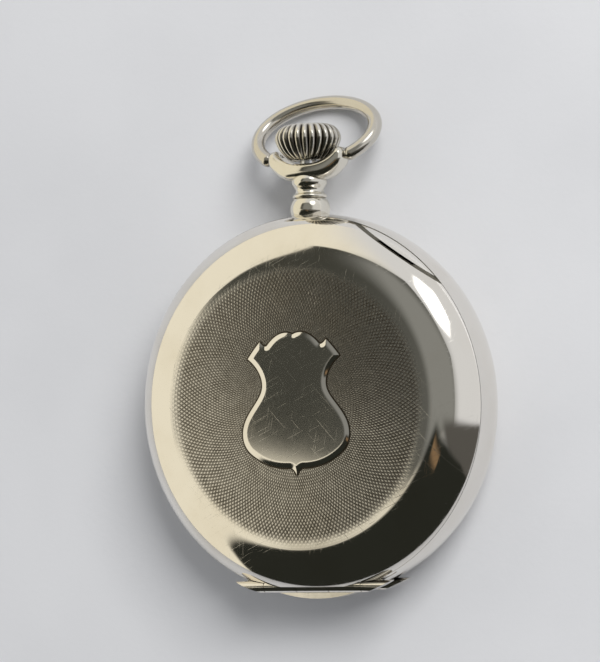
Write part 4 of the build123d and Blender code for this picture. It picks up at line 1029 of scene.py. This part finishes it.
@dataclass
class DialPrint:
    """Fired black numerals and tracks, generic and without a name."""

    level: float = 9.0
    small_level: float = 8.6
    thick: float = 0.02
    hour_radius: float = 17.0
    hour_size: float = 4.4
    track_radius: float = 20.3
    small_centre: float = 11.0
    small_track: float = 4.6
    small_numbers: float = 3.55
    small_size: float = 1.25

    def tick(self, shape: Shape, centre: float, level: float, radius: float, turn: float,
             size: Span) -> None:
        """Adds one radial tick of a size (length, width) at an angle round (centre, 0)."""
        place = (Matrix.Translation((centre, 0, level + self.thick / 2)) @ Matrix.Rotation(turn, 4, "Z")
                 @ Matrix.Translation((radius, 0, 0)) @ Matrix.Diagonal((*size, self.thick, 1)))
        bmesh.ops.create_cube(shape, size=1.0, matrix=place)

    def circle(self, shape: Shape, centre: float, level: float, radius: float,
               width: float) -> None:
        """Adds a thin printed circle."""
        line = spin_profile([(radius, level), (radius + width, level), (radius + width, level + self.thick),
                             (radius, level + self.thick), (radius, level)], 160)
        bmesh.ops.translate(line, verts=line.verts, vec=(centre, 0, 0))
        mesh = bpy.data.meshes.new("line")
        line.to_mesh(mesh)
        line.free()
        shape.from_mesh(mesh)
        bpy.data.meshes.remove(mesh)

    def number(self, shape: Shape, text: str, size: float, place: Matrix) -> None:
        """Adds a numeral, centred on a place."""
        curve = bpy.data.curves.new("numeral", "FONT")
        curve.body, curve.size, curve.extrude = text, size, self.thick / 2
        curve.align_x, curve.align_y = "CENTER", "CENTER"
        holder = bpy.data.objects.new("numeral", curve)
        bpy.context.scene.collection.objects.link(holder)
        bpy.context.view_layer.update()
        mesh = bpy.data.meshes.new_from_object(holder.evaluated_get(bpy.context.evaluated_depsgraph_get()))
        mesh.transform(place)
        shape.from_mesh(mesh)
        bpy.data.objects.remove(holder)
        bpy.data.curves.remove(curve)
        bpy.data.meshes.remove(mesh)

    def build(self, material: Material) -> Piece:
        """Builds the whole print as one piece on the dial."""
        shape = bmesh.new()
        upright = Matrix.Rotation(math.pi / 2, 4, "Z")
        for hour in range(1, 13):
            turn = math.pi - hour * math.pi / 6
            away = Vector((self.hour_radius * math.cos(turn), self.hour_radius * math.sin(turn), 0))
            if hour == 6:
                continue
            lift = Vector((0, 0, self.level + self.thick / 2))
            self.number(shape, str(hour), self.hour_size, Matrix.Translation(away + lift) @ upright)
        for minute in range(60):
            turn = minute * math.pi / 30
            size = (1.3, 0.3) if minute % 5 == 0 else (0.75, 0.12)
            self.tick(shape, 0.0, self.level, self.track_radius, turn, size)
            small = (0.75, 0.12) if minute % 5 == 0 else (0.4, 0.06)
            self.tick(shape, self.small_centre, self.small_level, self.small_track, turn, small)
        for second in (10, 20, 30, 40, 50, 60):
            turn = math.pi - second * math.pi / 30
            spot = (self.small_centre + self.small_numbers * math.cos(turn),
                    self.small_numbers * math.sin(turn), self.small_level + self.thick / 2)
            self.number(shape, str(second), self.small_size, Matrix.Translation(spot) @ upright)
        self.circle(shape, 0.0, self.level, self.track_radius + 0.36, 0.07)
        self.circle(shape, 0.0, self.level, self.track_radius - 0.43, 0.07)
        self.circle(shape, self.small_centre, self.small_level, self.small_track + 0.22, 0.05)
        return make_piece(shape, "dial_print", "case", material)


# ---- surroundings

@dataclass
class Patch:
    """A flat-sided part of the room above the table, as seen from the watch.

    A direction is given as (x, y) / (1 + z), so straight up is (0, 0). The corners run
    counter-clockwise round a convex outline.
    """

    corners: tuple[Span, ...]
    colour: Colour
    soft: float = 0.02
    strength: float = 1.0


@dataclass
class Room:
    """Warm wall to the west, pale wall to the east, a window and a dark figure to the south."""

    west: Colour = (0.92, 0.86, 0.70)
    east: Colour = (0.74, 0.74, 0.74)
    ambient: Colour = (0.355, 0.36, 0.37)
    patches: tuple[Patch, ...] = (
        Patch(((-0.306, -0.035), (-0.10, -0.050), (0.30, -0.14), (0.34, 0.16), (0.12, 0.38),
               (-0.213, 0.33)), (0.055, 0.055, 0.045), 0.006),
        Patch(((-0.17, -0.06), (0.34, -0.16), (0.36, 0.18), (0.02, 0.38), (-0.10, 0.34)),
              (0.28, 0.28, 0.26), 0.085, 0.9),
        Patch(((0.20, 0.40), (0.27, 0.28), (0.42, 0.27), (0.50, 0.40), (0.43, 0.56), (0.26, 0.55)),
              (2.8, 2.8, 2.75), 0.025),
        Patch(((0.10, -0.04), (0.95, -0.72), (1.3, -0.6), (1.1, -0.2), (0.7, -0.13), (0.3, -0.05)),
              (0.10, 0.095, 0.085), 0.03),
        Patch(((-0.26, -0.058), (-0.50, -0.32), (-0.70, -0.64), (-0.95, -1.3), (1.3, -1.3), (0.95, -0.69),
               (0.57, -0.33), (0.22, -0.12), (0.0, -0.03)), (0.022, 0.023, 0.018), 0.015),
        Patch(((-0.02, -0.07), (0.12, -0.16), (0.14, -0.13), (0.0, -0.05)), (0.30, 0.19, 0.10), 0.012, 0.8),
    )

    def build(self) -> None:
        """Builds the world, which lights matt surfaces evenly and is mirrored by the silver."""
        world = bpy.data.worlds.new("room")
        bpy.context.scene.world = world
        world.use_nodes = True
        graph = Graph(world.node_tree)
        direction = graph.node("ShaderNodeTexCoord").outputs["Generated"]
        split = graph.node("ShaderNodeSeparateXYZ", None, {0: direction})
        x, y, z = (Signal(graph, output) for output in split.outputs)
        across, along = x / (z + 1.02), y / (z + 1.02)
        colour = graph.mix((across + 0.25 * along).step(-0.12, 0.25), self.west, self.east)
        for patch in self.patches:
            mask = patch.strength
            for (x0, y0), (x1, y1) in zip(patch.corners, (*patch.corners[1:], patch.corners[0])):
                length = math.hypot(x1 - x0, y1 - y0)
                inward = ((y0 - y1) / length, (x1 - x0) / length)
                inside = inward[0] * across + inward[1] * along - (inward[0] * x0 + inward[1] * y0)
                mask = inside.step(-patch.soft, patch.soft) * mask
            colour = graph.mix(mask, colour, patch.colour)
        ray = graph.node("ShaderNodeLightPath")
        colour = graph.mix(ray.outputs["Is Diffuse Ray"], colour, self.ambient)
        background = graph.node("ShaderNodeBackground", None, {"Color": colour, "Strength": 1.0})
        graph.node("ShaderNodeOutputWorld", None, {"Surface": background.outputs[0]})


@dataclass
class Studio:
    """Floor, key light and camera."""

    floor_size: float = 1200.0
    key_place: tuple[float, float, float] = (527.0, 412.0, 602.0)
    key_size: float = 450.0
    key_power: float = 7.8
    eye: tuple[float, float, float] = (172.58, -4.02, 345.73)
    right: tuple[float, float, float] = (0.8876, -0.0335, -0.4593)
    up: tuple[float, float, float] = (0.0466, 0.9988, 0.0172)
    lens: float = 154.5
    sensor: float = 36.0

    def floor(self) -> None:
        """Adds the board under the watch."""
        shape = bmesh.new()
        bmesh.ops.create_grid(shape, x_segments=8, y_segments=8, size=self.floor_size / 2 * MM)
        mesh = bpy.data.meshes.new("floor")
        shape.to_mesh(mesh)
        shape.free()
        board = bpy.data.objects.new("floor", mesh)
        bpy.context.scene.collection.objects.link(board)
        mesh.materials.append(Tabletop().material())

    def key_light(self) -> None:
        """Adds the soft light of the window."""
        light = bpy.data.lights.new("window", "AREA")
        light.shape, light.size, light.energy = "SQUARE", self.key_size * MM, self.key_power
        light.color = (1.0, 0.985, 0.96)
        lamp = bpy.data.objects.new("window", light)
        lamp.location = Vector(self.key_place) * MM
        lamp.rotation_euler = (-lamp.location).to_track_quat("-Z", "Y").to_euler()
        lamp.visible_glossy = False
        bpy.context.scene.collection.objects.link(lamp)

    def camera(self) -> None:
        """Adds the camera, looking down on the watch from a little to its right."""
        right = Vector(self.right).normalized()
        back = right.cross(Vector(self.up)).normalized()
        up = back.cross(right)
        lens = bpy.data.cameras.new("camera")
        lens.lens, lens.sensor_width = self.lens, self.sensor
        lens.clip_start, lens.clip_end = 0.01, 10.0
        camera = bpy.data.objects.new("camera", lens)
        turn = Matrix((right, up, back)).transposed().to_4x4()
        camera.matrix_world = Matrix.Translation(Vector(self.eye) * MM) @ turn
        bpy.context.scene.collection.objects.link(camera)
        bpy.context.scene.camera = camera


# ---- assembly

# The bow's silver is darker than the case's, a painted shade over the whole wire; the bow and the pendant
# also get painted shade in their creases from ambient occlusion.
BOW_SILVER = Silver("bow_silver", (0.64, 0.61, 0.55), (0.05, 0.042, 0.03), 0.10, 0.25, crease=1.8)
LID_SILVER = Silver("lid_silver", roughness=0.045, smudges=0.07, scratch_depth=0.0015)
SHIELD_SILVER = Silver("shield_silver", roughness=0.06, smudges=0.07, scratch_depth=0.0008)
CROWN_SILVER = Silver("crown_silver", (0.80, 0.77, 0.70), roughness=0.11)
PENDANT_SILVER = Silver("pendant_silver", (0.78, 0.75, 0.67), roughness=0.11, crease=1.3)
DIAL_INK = Glossy("dial_ink", (0.02, 0.02, 0.022), (0.035, 0.035, 0.04), 0.5, 0.3, 0.2)
# CAD pieces whose silver gets painted shade in its creases from ambient occlusion, with its reach in
# millimetres.
CREASED = {"case_middle": 0.7, "front_hinge_pin": 0.5,
           "back_hinge_pin": 0.5}


def dress_frame(finishes: dict[Slot, Material]) -> None:
    """Gives every CAD node the finish of its slot.

    Args:
        finishes: The material for each slot.
    """
    slots = {part["node"]: Slot(part["material_slot"]) for part in frame["record"]["subparts"]}
    creased = {}
    for name, node in frame["nodes"].items():
        material = finishes[slots[name]]
        if name == "bow":
            material = BOW_SILVER.material()
        # Silver with painted shade in its creases from ambient occlusion.
        elif name in CREASED:
            depth = CREASED[name]
            if depth not in creased:
                creased[depth] = Silver(f"shaded_crease_silver_{round(depth * 10)}", crease=depth).material()
            material = creased[depth]
        for holder in node.material_slots:
            holder.material = material
    LOG.info("dressed %d CAD nodes", len(frame["nodes"]))


def main() -> None:
    """Builds the watch and its surroundings."""
    logging.basicConfig(level=logging.INFO, format="%(name)s %(message)s")
    finishes = {slot: finish.material() for slot, finish in FINISHES.items()}
    Studio().camera()
    dress_frame(finishes)
    Lid().build(LID_SILVER.material())
    Shield().build(SHIELD_SILVER.material())
    Crown().build(CROWN_SILVER.material())
    Pendant().build(PENDANT_SILVER.material())
    DialPrint().build(DIAL_INK.material())
    Room().build()
    Studio().floor()
    Studio().key_light()
    bpy.context.scene.view_settings.view_transform = "Standard"


if __name__ == "__main__":
    main()
